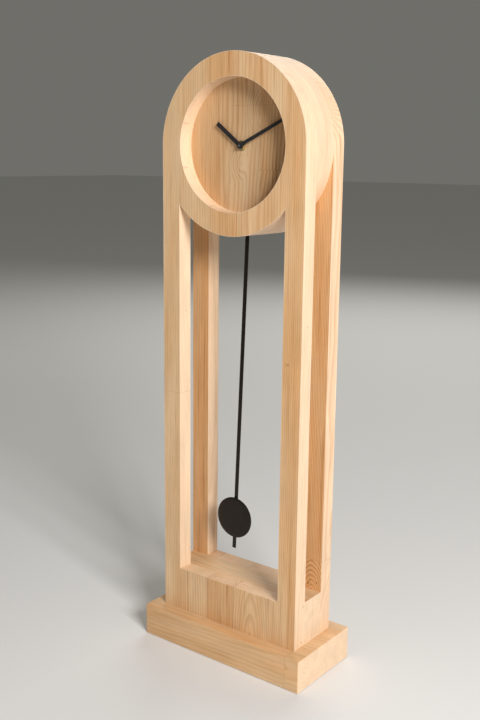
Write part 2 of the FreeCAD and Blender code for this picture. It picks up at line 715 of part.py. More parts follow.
wheel("setting_knob", [toothed(10, STEP_Y[0] - 2 * END_PLAY, STEP_Y[1] + 2 * END_PLAY, knob_x, 0.0),
                       stem(size("pivot_rad"), front_seat, STEP_Y[0], knob_x),
                       stem(size("shaft_rad"), STEP_Y[1], knob_y + 0.5, knob_x),
                       stem(KNOB_BODY_RAD, knob_y, knob_y + KNOB_BODY_HIGH, knob_x)])


def hand(label, length, width, hub, bore, y_low, angle):
    """Straight flat hand with a round hub, turned clockwise by its angle."""
    blade = block(label + "_blade", f"-{width}/2", f"{width}/2", "0", "hand_thick", "0", length)
    boss = round_y(label + "_hub", hub, "0", "hand_thick", "0", "0")
    thing = cut(label, fuse(label + "_blank", [blade, boss]),
                [round_y(label + "_bore", bore, "-through", "hand_thick+through", "0", "0")])
    thing.Placement = FreeCAD.Placement(V(), FreeCAD.Rotation(AXIS_Y, 1))
    bind(thing, Placement__Base__y=y_low, Placement__Base__z="head_z", Placement__Rotation__Angle=angle)
    return keep(thing, label)


hand("hour_hand", "hour_long", "hour_wide", "hour_hub", "pipe_rad", "case_front-hour_front",
     "hour_angle")
hand("minute_hand", "minute_long", "minute_wide", "minute_hub", "shaft_rad",
     "case_front-minute_front", "minute_angle")

# ---------------------------------------------------------------- motor, board, battery
MOTOR_Z = "head_z+motor_up"
COIL_Z = "head_z+coil_up"
STATOR_LEFT = "motor_x-stator_half"
STATOR_RIGHT = "motor_x+stator_half"
STATOR_FRONT = "stator_y-stator_thick/2"
STATOR_BACK = "stator_y+stator_thick/2"


def stator_bar(name, x_low, x_high, z_low, z_high):
    """One straight bar of the motor's flat iron frame."""
    return block(name, x_low, x_high, STATOR_FRONT, STATOR_BACK, z_low, z_high)


stator_bars = [
    stator_bar("stator_plate", STATOR_LEFT, STATOR_RIGHT, "head_z+stator_low", "head_z+plate_high"),
    stator_bar("stator_leg_left", STATOR_LEFT, STATOR_LEFT + "+leg_wide", "head_z+plate_high-through",
               "head_z+stator_high"),
    stator_bar("stator_leg_right", STATOR_RIGHT + "-leg_wide", STATOR_RIGHT, "head_z+plate_high-through",
               "head_z+stator_high"),
    stator_bar("stator_core", STATOR_LEFT, STATOR_RIGHT, COIL_Z + "-core_half", COIL_Z + "+core_half")]
keep(cut("motor_stator", fuse("stator_blank", stator_bars),
         [round_y("stator_eye_bore", "stator_eye", STATOR_FRONT + "-through", STATOR_BACK + "+through",
                  "motor_x", MOTOR_Z)]), "motor_stator")
WIRE_LEFT = "motor_x-wire_half"
WIRE_RIGHT = "motor_x+wire_half"
former_tube = round_x("former_tube", "tube_rad", WIRE_LEFT + "-former_wall", WIRE_RIGHT + "+former_wall",
                      "stator_y", COIL_Z)
former_left = round_x("former_left", "former_rad", WIRE_LEFT + "-former_wall", WIRE_LEFT, "stator_y", COIL_Z)
former_right = round_x("former_right", "former_rad", WIRE_RIGHT, WIRE_RIGHT + "+former_wall", "stator_y",
                       COIL_Z)
former_bore = stator_bar("former_bore", WIRE_LEFT + "-2*former_wall", WIRE_RIGHT + "+2*former_wall",
                         COIL_Z + "-core_half", COIL_Z + "+core_half")
keep(cut("motor_bobbin", fuse("former_blank", [former_tube, former_left, former_right]), [former_bore]),
     "motor_bobbin")
keep(cut("motor_winding", round_x("winding_blank", "wire_rad", WIRE_LEFT, WIRE_RIGHT, "stator_y", COIL_Z),
         [round_x("winding_bore", "tube_rad", WIRE_LEFT + "-through", WIRE_RIGHT + "+through", "stator_y",
                  COIL_Z)]), "motor_winding")

# Each section is (radius, y) from the front pivot over the magnet or the wire to the back.
ROTOR_SECTION = [("0", "-15.6"), ("0.6", "-15.6"), ("0.6", "-13.2"), ("3", "-13.2"), ("3", "-9.4"),
                 ("1.1", "-9.4"), ("1.1", "-6"), ("0.5", "-6"), ("0.5", "-3.6"), ("0", "-3.6")]
DRIVE_FORMER_SECTION = [("1.2", "-11"), ("7.4", "-11"), ("7.4", "-10.2"), ("2.2", "-10.2"),
                        ("2.2", "-4.3"), ("7.4", "-4.3"), ("7.4", "-3.5"), ("1.2", "-3.5")]
DRIVE_WIRE_SECTION = [("2.2", "-10.2"), ("7", "-10.2"), ("7", "-4.3"), ("2.2", "-4.3")]
DRIVE_Z = "head_z+drive_up"
keep(turned("motor_rotor", ROTOR_SECTION, "motor_x", MOTOR_Z), "motor_rotor")
keep(turned("drive_core", DRIVE_FORMER_SECTION, "0", DRIVE_Z), "drive_bobbin")
keep(turned("drive_winding", DRIVE_WIRE_SECTION, "0", DRIVE_Z), "drive_winding")

BOARD_FRONT = "case_front+case_wall"
BOARD_BACK = "case_front+case_wall+board_thick"
keep(block("circuit_board", "board_left", "board_right", BOARD_FRONT, BOARD_BACK,
           "head_z+board_low", "head_z+board_high"), "circuit_board")
keep(block("clock_chip", "chip_left", "chip_left+chip_wide", BOARD_BACK, BOARD_BACK + "+chip_thick",
           "head_z+chip_low", "head_z+chip_low+chip_wide"), "clock_chip")

CELL_Z = "head_z+bay_z"
cell_can = round_x("cell_can", "battery_rad", "-battery_half", "battery_half", "battery_y", CELL_Z)
cell_nub = round_x("cell_nub", "nub_rad", "battery_half", "battery_half+nub_long", "battery_y", CELL_Z)
keep(fuse("battery", [cell_can, cell_nub]), "battery")


def contact_plate(name, x_low, x_high):
    """Flat contact that stands across one end of the battery bay."""
    return block(name, x_low, x_high, "battery_y-contact_half", "battery_y+contact_half",
                 CELL_Z + "-contact_high", CELL_Z + "+contact_high")


contact_minus = fuse("contact_minus", [
    contact_plate("minus_plate", "case_wall-case_half", "case_wall-case_half+contact_thick"),
    round_x("minus_boss", "spring_rad", "case_wall-case_half+contact_bend", "-battery_half", "battery_y",
            CELL_Z)])
contact_plus = contact_plate("contact_plus", "battery_half+nub_long", "case_half-case_wall")
keep(group("battery_contacts", [contact_minus, contact_plus]), "battery_contacts")

# ---------------------------------------------------------------- pendulum
PIN_FRONT = "case_back-case_wall-pin_boss"
PIN_SECTION = [("0", PIN_FRONT), ("pin_rad", PIN_FRONT), ("pin_rad", "hanger_back+0.5"),
               ("pin_rad+0.8", "hanger_back+0.5"), ("pin_rad+0.8", "hanger_back+1.3"),
               ("0", "hanger_back+1.3")]
keep(turned("pivot_pin", PIN_SECTION, "0", "head_z+pivot_up"), "pivot_pin")


def hang(thing, label):
    """Places a piece that was built about the pivot, leaned as the pendulum stands."""
    thing.Placement = FreeCAD.Placement(V(), FreeCAD.Rotation(AXIS_Y, 1))
    bind(thing, Placement__Base__z="head_z+pivot_up", Placement__Rotation__Angle="lean")
    return keep(thing, label)


ROD_BACK = "rod_front+rod_thick"


def hanger_disc(name, radius, z):
    """Round lug of the hanger, as thick as its arm."""
    return round_y(name, radius, "hanger_front", "hanger_back", "0", z)


hanger_solids = [
    block("hanger_arm", "-arm_half", "arm_half", "hanger_front", "hanger_back", "-hanger_long", "magnet_up"),
    hanger_disc("hanger_eye", "eye_rad", "0"),
    hanger_disc("hanger_foot", "foot_rad", "-hanger_long"),
    hanger_disc("hanger_cup", "cup_rad", "magnet_up"),
    round_y("hook_post", "hook_rad", "hanger_back", ROD_BACK + "+hook_gap", "0", "-hanger_long"),
    round_y("hook_lip", "lip_rad", ROD_BACK + "+hook_gap", ROD_BACK + "+hook_gap+lip_thick", "0",
            "-hanger_long")]
hanger_bores = [
    round_y("hanger_bore", "pin_rad+run_fit", "hanger_front-through", "hanger_back+through", "0", "0"),
    round_y("magnet_seat", "magnet_rad", "hanger_front-through", "hanger_back+through", "0", "magnet_up")]
hang(cut("hanger", fuse("hanger_blank", hanger_solids), hanger_bores), "pendulum_hanger")
hang(group("magnet", [hanger_disc("magnet_disc", "magnet_rad", "magnet_up")]), "drive_magnet")

strip = block("strip", "-rod_wide/2", "rod_wide/2", "rod_front", ROD_BACK, "-rod_end",
              "-hanger_long+rod_over")
hang(cut("rod", strip, [round_y("strip_eye", "hook_rad", "rod_front-through", ROD_BACK + "+through", "0",
                                "-hanger_long")]), "pendulum_rod")

BOB_FRONT = "rod_front-bob_thick"
BOB_SECTION = [("0", BOB_FRONT), ("bob_rad*0.6", BOB_FRONT + "+0.5"), ("bob_rad-1.2", BOB_FRONT + "+1.6"),
               ("bob_rad", BOB_FRONT + "+2.4"), ("bob_rad", "rod_front-0.6"),
               ("bob_rad-0.6", "rod_front"), ("0", "rod_front")]
bob = turned("bob", BOB_SECTION, "0", "0")
bob.Placement = FreeCAD.Placement(V(), FreeCAD.Rotation(AXIS_Y, 1))
bind(bob, Placement__Base__x="-bob_drop*sin(lean)", Placement__Base__z="head_z+pivot_up-bob_drop*cos(lean)",
     Placement__Rotation__Angle="lean")
keep(bob, "pendulum_bob")


def clip_block(name, x_low, x_high, y_low, y_high, over):
    """Box across the middle of the bob, longer than the clip by a margin at each end."""
    return block(name, x_low, x_high, y_low, y_high, f"-bob_drop-clip_high-{over}",
                 f"-bob_drop+clip_high+{over}")


clip_blank = clip_block("clip_blank", "-clip_half", "clip_half", "rod_front", ROD_BACK + "+clip_wall", "0")
clip_way = clip_block("clip_way", "-rod_wide/2", "rod_wide/2", "rod_front-through", ROD_BACK, "through")
CLIP_SIDE = ("rod_front+clip_wall", ROD_BACK + "+clip_wall+through", "through")
clip_left = clip_block("clip_left", "-clip_half-through", "-clip_arm", *CLIP_SIDE)
clip_right = clip_block("clip_right", "clip_arm", "clip_half+through", *CLIP_SIDE)
hang(cut("clip", clip_blank, [clip_way, clip_left, clip_right]), "bob_clip")

# ---------------------------------------------------------------- checks and export
doc.recompute()
for thing in doc.Objects:
    if "Invalid" in thing.State or "Error" in thing.State:
        raise RuntimeError(f"{thing.Name} failed: {thing.State}")
for node in nodes:
    if node.Shape.isNull() or not node.Shape.isValid():
        raise RuntimeError(f"{node.Label} has no valid shape")
for node in nodes:
    node.Shape.exportStep(f"parts/{node.Label}.step")
    reach = node.Shape.BoundBox
    print(f"{node.Label:22s} solids {len(node.Shape.Solids):2d}  volume {node.Shape.Volume:11.1f}  "
          f"x {reach.XMin:7.1f} {reach.XMax:7.1f}  y {reach.YMin:6.1f} {reach.YMax:6.1f}  "
          f"z {reach.ZMin:6.1f} {reach.ZMax:6.1f}")
print(len(nodes), "sub-parts")
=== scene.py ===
# %% [markdown]
# # A pendulum floor clock in pine
# Two arched boards stand on a plain plinth, with a round drum between their heads and a block between
# their feet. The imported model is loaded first: it says where every piece is, so nothing is placed by
# eye. Everything is in metres, +X to the right of someone who faces the dial, +Y to the back, +Z up.

# %% Load the frame
import bmesh
import bpy
import functools
import json
import math
import numpy as np
from mathutils import Matrix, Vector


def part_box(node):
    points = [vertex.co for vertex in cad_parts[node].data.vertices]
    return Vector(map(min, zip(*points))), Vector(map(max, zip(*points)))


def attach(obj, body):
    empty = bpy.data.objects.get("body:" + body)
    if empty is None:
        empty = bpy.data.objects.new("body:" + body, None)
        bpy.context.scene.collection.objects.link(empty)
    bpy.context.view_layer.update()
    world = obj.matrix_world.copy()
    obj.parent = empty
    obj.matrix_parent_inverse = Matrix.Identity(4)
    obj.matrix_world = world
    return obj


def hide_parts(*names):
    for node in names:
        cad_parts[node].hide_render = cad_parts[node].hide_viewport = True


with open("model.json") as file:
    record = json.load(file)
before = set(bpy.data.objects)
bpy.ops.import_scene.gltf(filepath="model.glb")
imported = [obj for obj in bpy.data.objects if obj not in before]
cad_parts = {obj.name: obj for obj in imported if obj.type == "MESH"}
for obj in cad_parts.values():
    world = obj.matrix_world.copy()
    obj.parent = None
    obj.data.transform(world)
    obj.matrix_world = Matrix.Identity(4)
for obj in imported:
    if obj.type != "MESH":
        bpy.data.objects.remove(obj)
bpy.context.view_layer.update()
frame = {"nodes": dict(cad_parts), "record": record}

NODES = frame["nodes"]
BODY_OF = {node: body for body, members in frame["record"]["behaviour"]["bodies"].items()
           for node in members}
SLOT_OF = {part["node"]: part["material_slot"] for part in frame["record"]["subparts"]}

# %% [markdown]
# ## Sizes read from the frame
# The boxes around a few nodes give nearly every size that the new surfaces need: the arch's radius is
# half the board's width, its middle is one radius below the top. Only sizes that a box can't show, such
# as the width of a stile, are written as numbers.

# %% Read the sizes
MM = 0.001


def reach(node):
    """Lowest and highest corner of a node as two numpy arrays."""
    low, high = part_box(node)
    return np.array(low), np.array(high)


front_low, front_high = reach("front_board")
rear_low, rear_high = reach("rear_board")
block_low, block_high = reach("bottom_block")
ring_low, ring_high = reach("dial_ring")
dial_low, dial_high = reach("dial")

HEAD_RADIUS = (front_high[0] - front_low[0]) / 2
HEAD_Z = front_high[2] - HEAD_RADIUS
FOOT_Z = front_low[2]
SILL_Z = block_high[2]
STILE = 35 * MM
HOLE_RADIUS = 103 * MM
RING_RADIUS = (ring_high[0] - ring_low[0]) / 2
DRUM_WALL = 16 * MM
DIAL_RADIUS = (dial_high[0] - dial_low[0]) / 2
print("head radius", round(HEAD_RADIUS, 4), "head middle", round(HEAD_Z, 4), "sill", round(SILL_Z, 4))

# %% [markdown]
# ## Camera
# A camera's matrix holds three directions as columns: its right, its up, and the way back out of the
# lens. They come from three angles, as on a tripod head: the pan, the tilt and a slight roll.

# %% Make the camera
def stand(piece, place, right, up, back):
    """Links an object at a place, with its three directions as the columns of its matrix."""
    turn = Matrix((right, up, back)).transposed().to_4x4()
    piece.matrix_world = Matrix.Translation(place) @ turn
    bpy.context.scene.collection.objects.link(piece)
    return piece


CAMERA_PLACE = (0.9297, -1.2370, 0.8422)
PAN, TILT, ROLL = math.radians(37.43), math.radians(-11.99), math.radians(0.62)
LENS_MM = 47.72
ahead = np.array([-math.sin(PAN) * math.cos(TILT), math.cos(PAN) * math.cos(TILT), math.sin(TILT)])
level = np.array([math.cos(PAN), math.sin(PAN), 0.0])
above = np.cross(level, ahead)
right = level * math.cos(ROLL) + above * math.sin(ROLL)
upward = above * math.cos(ROLL) - level * math.sin(ROLL)
lens = bpy.data.cameras.new("camera")
lens.sensor_width = 36.0
lens.lens = LENS_MM
lens.clip_start = 0.05
camera = stand(bpy.data.objects.new("camera", lens), CAMERA_PLACE, right, upward, -ahead)
bpy.context.scene.camera = camera
print("lens", round(lens.lens, 2), "mm")

# %% [markdown]
# ## Floor and light
# The clock stands on a plain pale floor. One broad lamp on the right makes the side faces bright and
# throws a soft shadow into the dial's hole. A weak one behind keeps the back from going dull, and the
# surrounding world keeps the shadows open. The colours are shown as they are, with no film curve.

# %% Make the floor and the lights
FLOOR_HALF = 30.0
CLOCK_MIDDLE = np.array([0.0, 0.0, 0.5])


def mesh_piece(name, points, faces):
    """New mesh object from an (n, 3) array of points and an (m, 4) array of faces."""
    mesh = bpy.data.meshes.new(name)
    mesh.from_pydata(points.tolist(), [], [list(face) for face in faces])
    mesh.update()
    piece = bpy.data.objects.new(name, mesh)
    bpy.context.scene.collection.objects.link(piece)
    return piece


def lamp(name, azimuth, elevation, distance, width, height, power, colour):
    """Area lamp that looks at the clock's middle. Azimuth 0 is in front, 90 on the right."""
    data = bpy.data.lights.new(name, "AREA")
    data.shape = "RECTANGLE"
    data.size, data.size_y = width, height
    data.energy = power
    data.color = colour
    side, lift = math.radians(azimuth), math.radians(elevation)
    way = np.array([math.sin(side) * math.cos(lift), -math.cos(side) * math.cos(lift), math.sin(lift)])
    sideways = np.array([math.cos(side), math.sin(side), 0.0])
    return stand(bpy.data.objects.new(name, data), CLOCK_MIDDLE + distance * way, sideways,
                 np.cross(way, sideways), way)


corners = np.array([[-1, -1, 0], [1, -1, 0], [1, 1, 0], [-1, 1, 0]]) * FLOOR_HALF
floor = mesh_piece("floor", corners, [(0, 1, 2, 3)])
floor_paint = bpy.data.materials.new("pale_floor")
floor_paint.use_nodes = True
floor_shader = floor_paint.node_tree.nodes["Principled BSDF"]
floor_shader.inputs["Base Color"].default_value = (0.80, 0.80, 0.78, 1)
floor_shader.inputs["Roughness"].default_value = 0.75
floor.data.materials.append(floor_paint)
lamp("key", 62, 26, 3.0, 1.1, 0.9, 106, (0.99, 0.97, 0.98))
lamp("back fill", 200, 32, 4.5, 2.8, 2.8, 62, (1.0, 0.98, 0.95))
world = bpy.data.worlds.new("studio")
world.use_nodes = True
world.node_tree.nodes["Background"].inputs["Color"].default_value = (0.82, 0.81, 0.74, 1)
world.node_tree.nodes["Background"].inputs["Strength"].default_value = 0.195
bpy.context.scene.world = world
bpy.context.scene.view_settings.view_transform = "Standard"
print("lamps", len(bpy.data.lights))

# %% [markdown]
# ## Shader sums written as Python
# A finish is worked out from the place on the piece: how far across the grain, how deep, how far along.
# A small class wraps a socket and turns + - * / into Math nodes, so the sums read as what they mean.

# %% Define a wire and its sums
class Wire:
    """One output socket of a finish, ready for sums; every sum adds a Math node."""

    def __init__(self, finish, socket):
        self.finish = finish
        self.socket = socket

    def sum(self, operation, other=0.0):
        """The wire and another value put through one Math node."""
        return self.finish.node("ShaderNodeMath", {"operation": operation}, {0: self, 1: other})

    def __rsub__(self, other):
        return self.finish.node("ShaderNodeMath", {"operation": "SUBTRACT"}, {0: other, 1: self})

    # Every name below is the sum with its operation filled in.
    __add__ = __radd__ = functools.partialmethod(sum, "ADD")
    __mul__ = __rmul__ = functools.partialmethod(sum, "MULTIPLY")
    __sub__ = functools.partialmethod(sum, "SUBTRACT")
    __truediv__ = functools.partialmethod(sum, "DIVIDE")
    least = functools.partialmethod(sum, "MINIMUM")
    most = functools.partialmethod(sum, "MAXIMUM")
    fraction = functools.partialmethod(sum, "FRACT")
    size = functools.partialmethod(sum, "ABSOLUTE")
    root = functools.partialmethod(sum, "SQRT")


print("wires are ready")

# %% [markdown]
# A finish holds one material. It hands out the place on the piece as three wires in millimetres, and
# makes every other node: its settings go in first, then its sockets.

# %% Define the finish
class Finish:
    """A material with one Principled shader, and the nodes that feed it."""

    def __init__(self, name, **constants):
        self.material = bpy.data.materials.new(name)
        self.material.use_nodes = True
        self.tree = self.material.node_tree
        self.shader = self.tree.nodes["Principled BSDF"]
        for socket, value in constants.items():
            self.shader.inputs[socket.replace("_", " ")].default_value = value

    def plug(self, socket, value):
        """Links a wire to a socket, or writes a plain value into it."""
        if isinstance(value, Wire):
            self.tree.links.new(value.socket, socket)
        elif isinstance(value, tuple) and len(value) == 3 and socket.type == "RGBA":
            socket.default_value = (*value, 1.0)
        else:
            socket.default_value = value

    def node(self, kind, settings=None, values=None, output=0):
        """Any node: its settings first, a ramp's stops among them, then its sockets."""
        node = self.tree.nodes.new(kind)
        for key, setting in (settings or {}).items():
            if key == "stops":
                stops = node.color_ramp.elements
                stops[0].position, stops[-1].position = setting[0][0], setting[-1][0]
                for place, _ in setting[1:-1]:
                    stops.new(place)
                for stop, (_, colour) in zip(stops, setting):
                    stop.color = (*colour, 1.0)
            elif key == "steps":
                node.color_ramp.interpolation = setting
            else:
                setattr(node, key, setting)
        for key, value in (values or {}).items():
            self.plug(node.inputs[key], value)
        return Wire(self, node.outputs[output])

    def feed(self, **wires):
        """Feeds the shader's sockets that vary over the surface."""
        for socket, value in wires.items():
            self.plug(self.shader.inputs[socket.replace("_", " ")], value)
        return self

    def place(self):
        """Place on the piece in millimetres as three wires, across X, Y and Z."""
        spot = self.node("ShaderNodeTexCoord", output=3)
        split = self.node("ShaderNodeSeparateXYZ", {}, {0: spot})
        outputs = split.socket.node.outputs
        return [Wire(self, outputs[i]) * 1000.0 for i in range(3)]

    def parts(self, colour):
        """The three parts of a colour or vector as wires."""
        red = self.node("ShaderNodeSeparateColor", {}, {0: colour})
        return [Wire(self, red.socket.node.outputs[i]) for i in range(3)]

    def stepped(self, share, rows):
        """Three numbers that hold from each row's start to the next; rows are (start, (a, b, c))."""
        rows = rows + [(1.0, rows[-1][1])]
        return self.parts(self.node("ShaderNodeValToRGB", {"stops": rows, "steps": "CONSTANT"},
                                    {0: share}))

    def vector(self, x, y, z):
        return self.node("ShaderNodeCombineXYZ", {}, {0: x, 1: y, 2: z})

    def noise(self, vector, scale, detail=2.0, rough=0.5, output=0):
        """Noise about 0.5 at a place given in millimetres; scale is features per millimetre."""
        return self.node("ShaderNodeTexNoise", {"noise_dimensions": "3D"},
                         {"Vector": vector, "Scale": scale, "Detail": detail, "Roughness": rough}, output)

    def smooth(self, value, low, high, to_low=0.0, to_high=1.0):
        """Smooth step from to_low at low to to_high at high."""
        return self.node("ShaderNodeMapRange", {"interpolation_type": "SMOOTHSTEP"},
                         {"Value": value, "From Min": low, "From Max": high, "To Min": to_low,
                          "To Max": to_high})

    def mix(self, factor, first, second):
        """Mix of two colours."""
        return self.node("ShaderNodeMix", {"data_type": "RGBA"},
                         {0: factor, 6: first, 7: second}, 2)

    def bump(self, height, distance, strength=1.0):
        """Feeds the shader's normal from a height; distance is in metres."""
        normal = self.node("ShaderNodeBump", {}, {"Strength": strength, "Distance": distance,
                                                  "Height": height})
        return self.feed(Normal=normal)


print("finishes are ready")

# %% [markdown]
# ## Pine
# A board is cut out of a tree, and its grain is where the cut meets the tree's growth rings. So the
# finish works out one number for each spot: its distance from the middle of the tree. Each ring starts
# pale and ends in a thin darker line. A middle far to one side gives straight lines, a middle just
# behind the face that drifts along the length gives pointed arches. A glued panel is made of staves, so
# the tree, the tone and the ring's width change at every glue line, and past a butt joint the wood comes
# from another part of the tree. A knot pushes the rings aside. Sawn edges and end faces are painted
# paler and less marked than the broad faces: partly for sanding, and partly as painted light, the
# washed-out glare that the lamp gives the side faces.

# %% Define the parts of the pine
PALE = (0.800, 0.572, 0.335)
WARM = (0.760, 0.430, 0.190)
LATE = (0.500, 0.225, 0.070)
# Paler colour of sawn edges and end faces: partly sanded wood, partly painted light, the lamp's washed-out
# glare.
SANDED_AND_LIT = (0.850, 0.645, 0.455)
GLUE_LINE = (0.430, 0.195, 0.065)
KNOT_BROWN = (0.200, 0.080, 0.030)
# A ramp holds numbers from 0 to 1, so rings, hearts and depths in millimetres are packed into that.
RING_MOST = 10.0
HEART_LOW, HEART_SPAN = -500.0, 1000.0
DEPTH_LOW, DEPTH_SPAN = -100.0, 300.0
TILT_LOW = -0.5


def scaled(colour, share):
    """A colour made lighter or darker."""
    return tuple(part * share for part in colour)


def stave_numbers(finish, across, low, span, staves):
    """Warmth, strength, ring, heart, depth and tilt of the stave at each spot, as six wires.

    Two ramps with constant steps hold them, three at a time and packed to lie between 0 and 1.
    """
    share = (across - low) / span
    starts = [max(0.0, (stave[0] - low) / span) for stave in staves]
    looks = [(start, (stave[1], stave[2], stave[3] / RING_MOST)) for start, stave in zip(starts, staves)]
    tree = [(start, ((stave[4] - HEART_LOW) / HEART_SPAN, (stave[5] - DEPTH_LOW) / DEPTH_SPAN,
                     stave[6] - TILT_LOW)) for start, stave in zip(starts, staves)]
    return finish.stepped(share, looks) + finish.stepped(share, tree)


def butt_joints(finish, across, along, joints):
    """How far the tree's middle jumps past each butt joint, and a mask of each joint's line."""
    jumps, lines = [], []
    for start, end, height, jump in joints:
        inside = finish.smooth(across, start - 0.1, start)
        inside = inside * finish.smooth(across, end, end + 0.1, 1.0, 0.0)
        jumps.append(inside * finish.smooth(along, height - 0.1, height) * float(jump))
        lines.append(inside * finish.smooth((along - height).size(), 0.2, 0.8, 0.28, 0.0))
    return jumps, lines


def knot_marks(finish, across, deep, along, knots):
    """How far each knot pushes the rings, and a mask of its dark middle; both fade with the gap to it."""
    pushes, spots = [], []
    for axis, place, height, size, push, darkness in knots:
        off = (across, deep)[axis] - place
        up = (along - height) * 0.7
        gap = (off * off + up * up).root()
        pushes.append(finish.smooth(gap, 0.0, size * 3.6, push, 0.0))
        spots.append(finish.smooth(gap, size * 0.5, size * 1.15, darkness, 0.0))
    return pushes, spots


print("helpers of the pine are ready")

# %% [markdown]
# The recipe itself: the distance from the tree's middle gives the rings, and noises that are stretched
# along the grain give the patches, streaks, flecks and fibres. Glue lines, joints and knots come last.

# %% Define the pine finish
def pine(name, axes, low, span, staves, seed, knots=(), joints=(), tone=1.0, places=None, rise=1000,
         calm=1.0, bend=1.0, sanded_and_lit=None):
    """Pine with its grain along the third of the axes (0 X, 1 Y, 2 Z), all sizes in millimetres.

    A stave is (start, warmth, strength, ring, heart, depth, tilt, joint): where it starts, how warm and
    how marked it is, the ring's width, the tree's middle across and deep at length 0, how fast that depth
    grows along the length, and how dark the joint at its start is. The distance from the middle is
    sqrt((across - heart)^2 + (deep - depth - tilt * along)^2) plus slow bends. The tilt ends at the
    length rise, calm scales the marks' strength towards the far end, and bend scales the slow bends. A
    knot is (axis, place, along, size, push, darkness). A joint is (from, to, along, jump), a butt joint
    across the grain: past it the tree's middle is jump further to one side. sanded_and_lit takes the
    finish and the three places and gives a mask of the faces painted paler: sawn edges and end faces,
    whose paleness is partly sanding and partly painted light, the lamp's washed-out glare.
    """
    finish = Finish(name, IOR=1.46)
    spots = places(finish) if places else finish.place()
    across, deep, along = [spots[axis] for axis in axes]
    warmth, strength, ring, heart, depth, tilt = stave_numbers(finish, across, low, span, staves)
    jumps, joint_lines = butt_joints(finish, across, along, joints)
    pushes, knot_spots = knot_marks(finish, across, deep, along, knots)

    def marks(width, length, start, detail=2.0, rough=0.5, apart=0.0):
        """Noise drawn out along the grain: width and length are features per millimetre each way."""
        spot = finish.vector(across * width + apart, deep * width, along * length + start)
        return finish.noise(spot, 1.0, detail, rough)

    # Slow and quick bend the rings, over about 90 and 16 mm of width.
    slow = marks(0.011, 0.0030, seed, 1.0, 0.4, heart * 37.0)
    quick = marks(0.06, 0.012, seed, apart=heart * 19.0)
    sideways = across - (heart * HEART_SPAN + HEART_LOW)
    for jump in jumps:
        sideways = sideways + jump
    downward = deep - (depth * DEPTH_SPAN + DEPTH_LOW) - along.least(float(rise)) * (tilt + TILT_LOW)
    strength = strength * finish.smooth(along, 200.0, 720.0, 1.0, calm)
    distance = (sideways * sideways + downward * downward).root()
    distance = distance + (slow - 0.5) * (13.0 * bend) + (quick - 0.5) * (2.4 * bend)
    for push in pushes:
        distance = distance + push
    phase = (distance / (ring * RING_MOST)).fraction()
    late = finish.smooth(phase, 0.28, 0.88) * finish.smooth(phase, 0.92, 1.0, 1.0, 0.0)
    # Patches warm or pale the ground, streaks and flecks are resin and pores, fibres are the finest marks.
    patch = marks(0.035, 0.0050, seed)
    streak = marks(0.16, 0.0045, seed, rough=0.6)
    fleck = marks(0.7, 0.020, 0.0, rough=0.6)
    fibre = marks(2.2, 0.05, 0.0, 3.0, 0.6)
    early = finish.mix(warmth + (patch - 0.5) * 1.5, scaled(PALE, tone), scaled(WARM, tone))
    amount = late * strength * (patch * 0.8 + 0.35) * (fleck * 0.9 + 0.4)
    amount = amount + finish.smooth(streak, 0.54, 0.76) * (strength * 0.60 + 0.10)
    # Painted paler where the mask picks, with fainter rings: partly sanded wood, partly painted light, the
    # lamp's glare on the side faces.
    if sanded_and_lit:
        bare = sanded_and_lit(finish, *spots)
        early = finish.mix(bare * 0.75, early, SANDED_AND_LIT)
        amount = amount * (1.0 - bare * 0.65)
    colour = finish.mix(amount, early, scaled(LATE, tone))
    cloud = marks(0.05, 0.012, seed, 3.0, 0.6)
    shade = finish.smooth(cloud, 0.25, 0.75, 1.045, 0.925)
    shade = shade * finish.smooth(fibre, 0.30, 0.75, 1.04, 0.95)
    shade = shade * finish.smooth(fleck, 0.2, 0.8, 1.025, 0.965)
    colour = finish.node("ShaderNodeVectorMath", {"operation": "SCALE"}, {0: colour, 3: shade})
    for stave in staves[1:]:
        line = finish.smooth((across - stave[0]).size(), 0.2, 0.9, stave[7], 0.0)
        colour = finish.mix(line * (streak * 0.8 + 0.6), colour, GLUE_LINE)
    for line in joint_lines:
        colour = finish.mix(line, colour, GLUE_LINE)
    if knot_spots:
        colour = finish.mix(functools.reduce(Wire.most, knot_spots), colour, KNOT_BROWN)
    finish.feed(Base_Color=colour, Roughness=late * 0.06 + fibre * 0.16 + 0.42)
    finish.bump(late * 0.4 - fibre * 0.7, 0.00012, 0.5)
    return finish.material


print("pine is ready")

# %% [markdown]
# ## Surfaces from grids
# Most pieces here are sheets of points laid out by two numbers, such as an angle and a radius. A helper
# joins such a grid into faces, and another stacks several grids into one closed skin.

# %% Define the grid helpers
def grid_faces(rows, columns, start, wrap_rows=False, wrap_columns=False):
    """Faces of a grid of rows by columns of points that are numbered row by row from start."""
    i, j = np.meshgrid(np.arange(rows if wrap_rows else rows - 1),
                       np.arange(columns if wrap_columns else columns - 1), indexing="ij")
    i, j = i.ravel(), j.ravel()
    down, over = (i + 1) % rows, (j + 1) % columns
    return start + np.stack([i * columns + j, i * columns + over, down * columns + over,
                             down * columns + j], axis=1)


MERGE = 1e-6


def tidy(piece):
    """Merges doubled points and makes the faces of a closed skin point outwards."""
    work = bmesh.new()
    work.from_mesh(piece.data)
    bmesh.ops.remove_doubles(work, verts=work.verts, dist=MERGE)
    bmesh.ops.dissolve_degenerate(work, edges=work.edges, dist=MERGE)
    bmesh.ops.recalc_face_normals(work, faces=work.faces)
    work.to_mesh(piece.data)
    work.free()
    return piece


def skin(name, sheets):
    """One closed piece from several grids; each sheet is (points of shape (rows, columns, 3), wraps)."""
    points, faces, count = [], [], 0
    for sheet, wrap_rows, wrap_columns in sheets:
        rows, columns = sheet.shape[:2]
        points.append(sheet.reshape(-1, 3))
        faces.append(grid_faces(rows, columns, count, wrap_rows, wrap_columns))
        count += rows * columns
    return tidy(mesh_piece(name, np.concatenate(points), np.concatenate(faces)))


print("grids are ready")

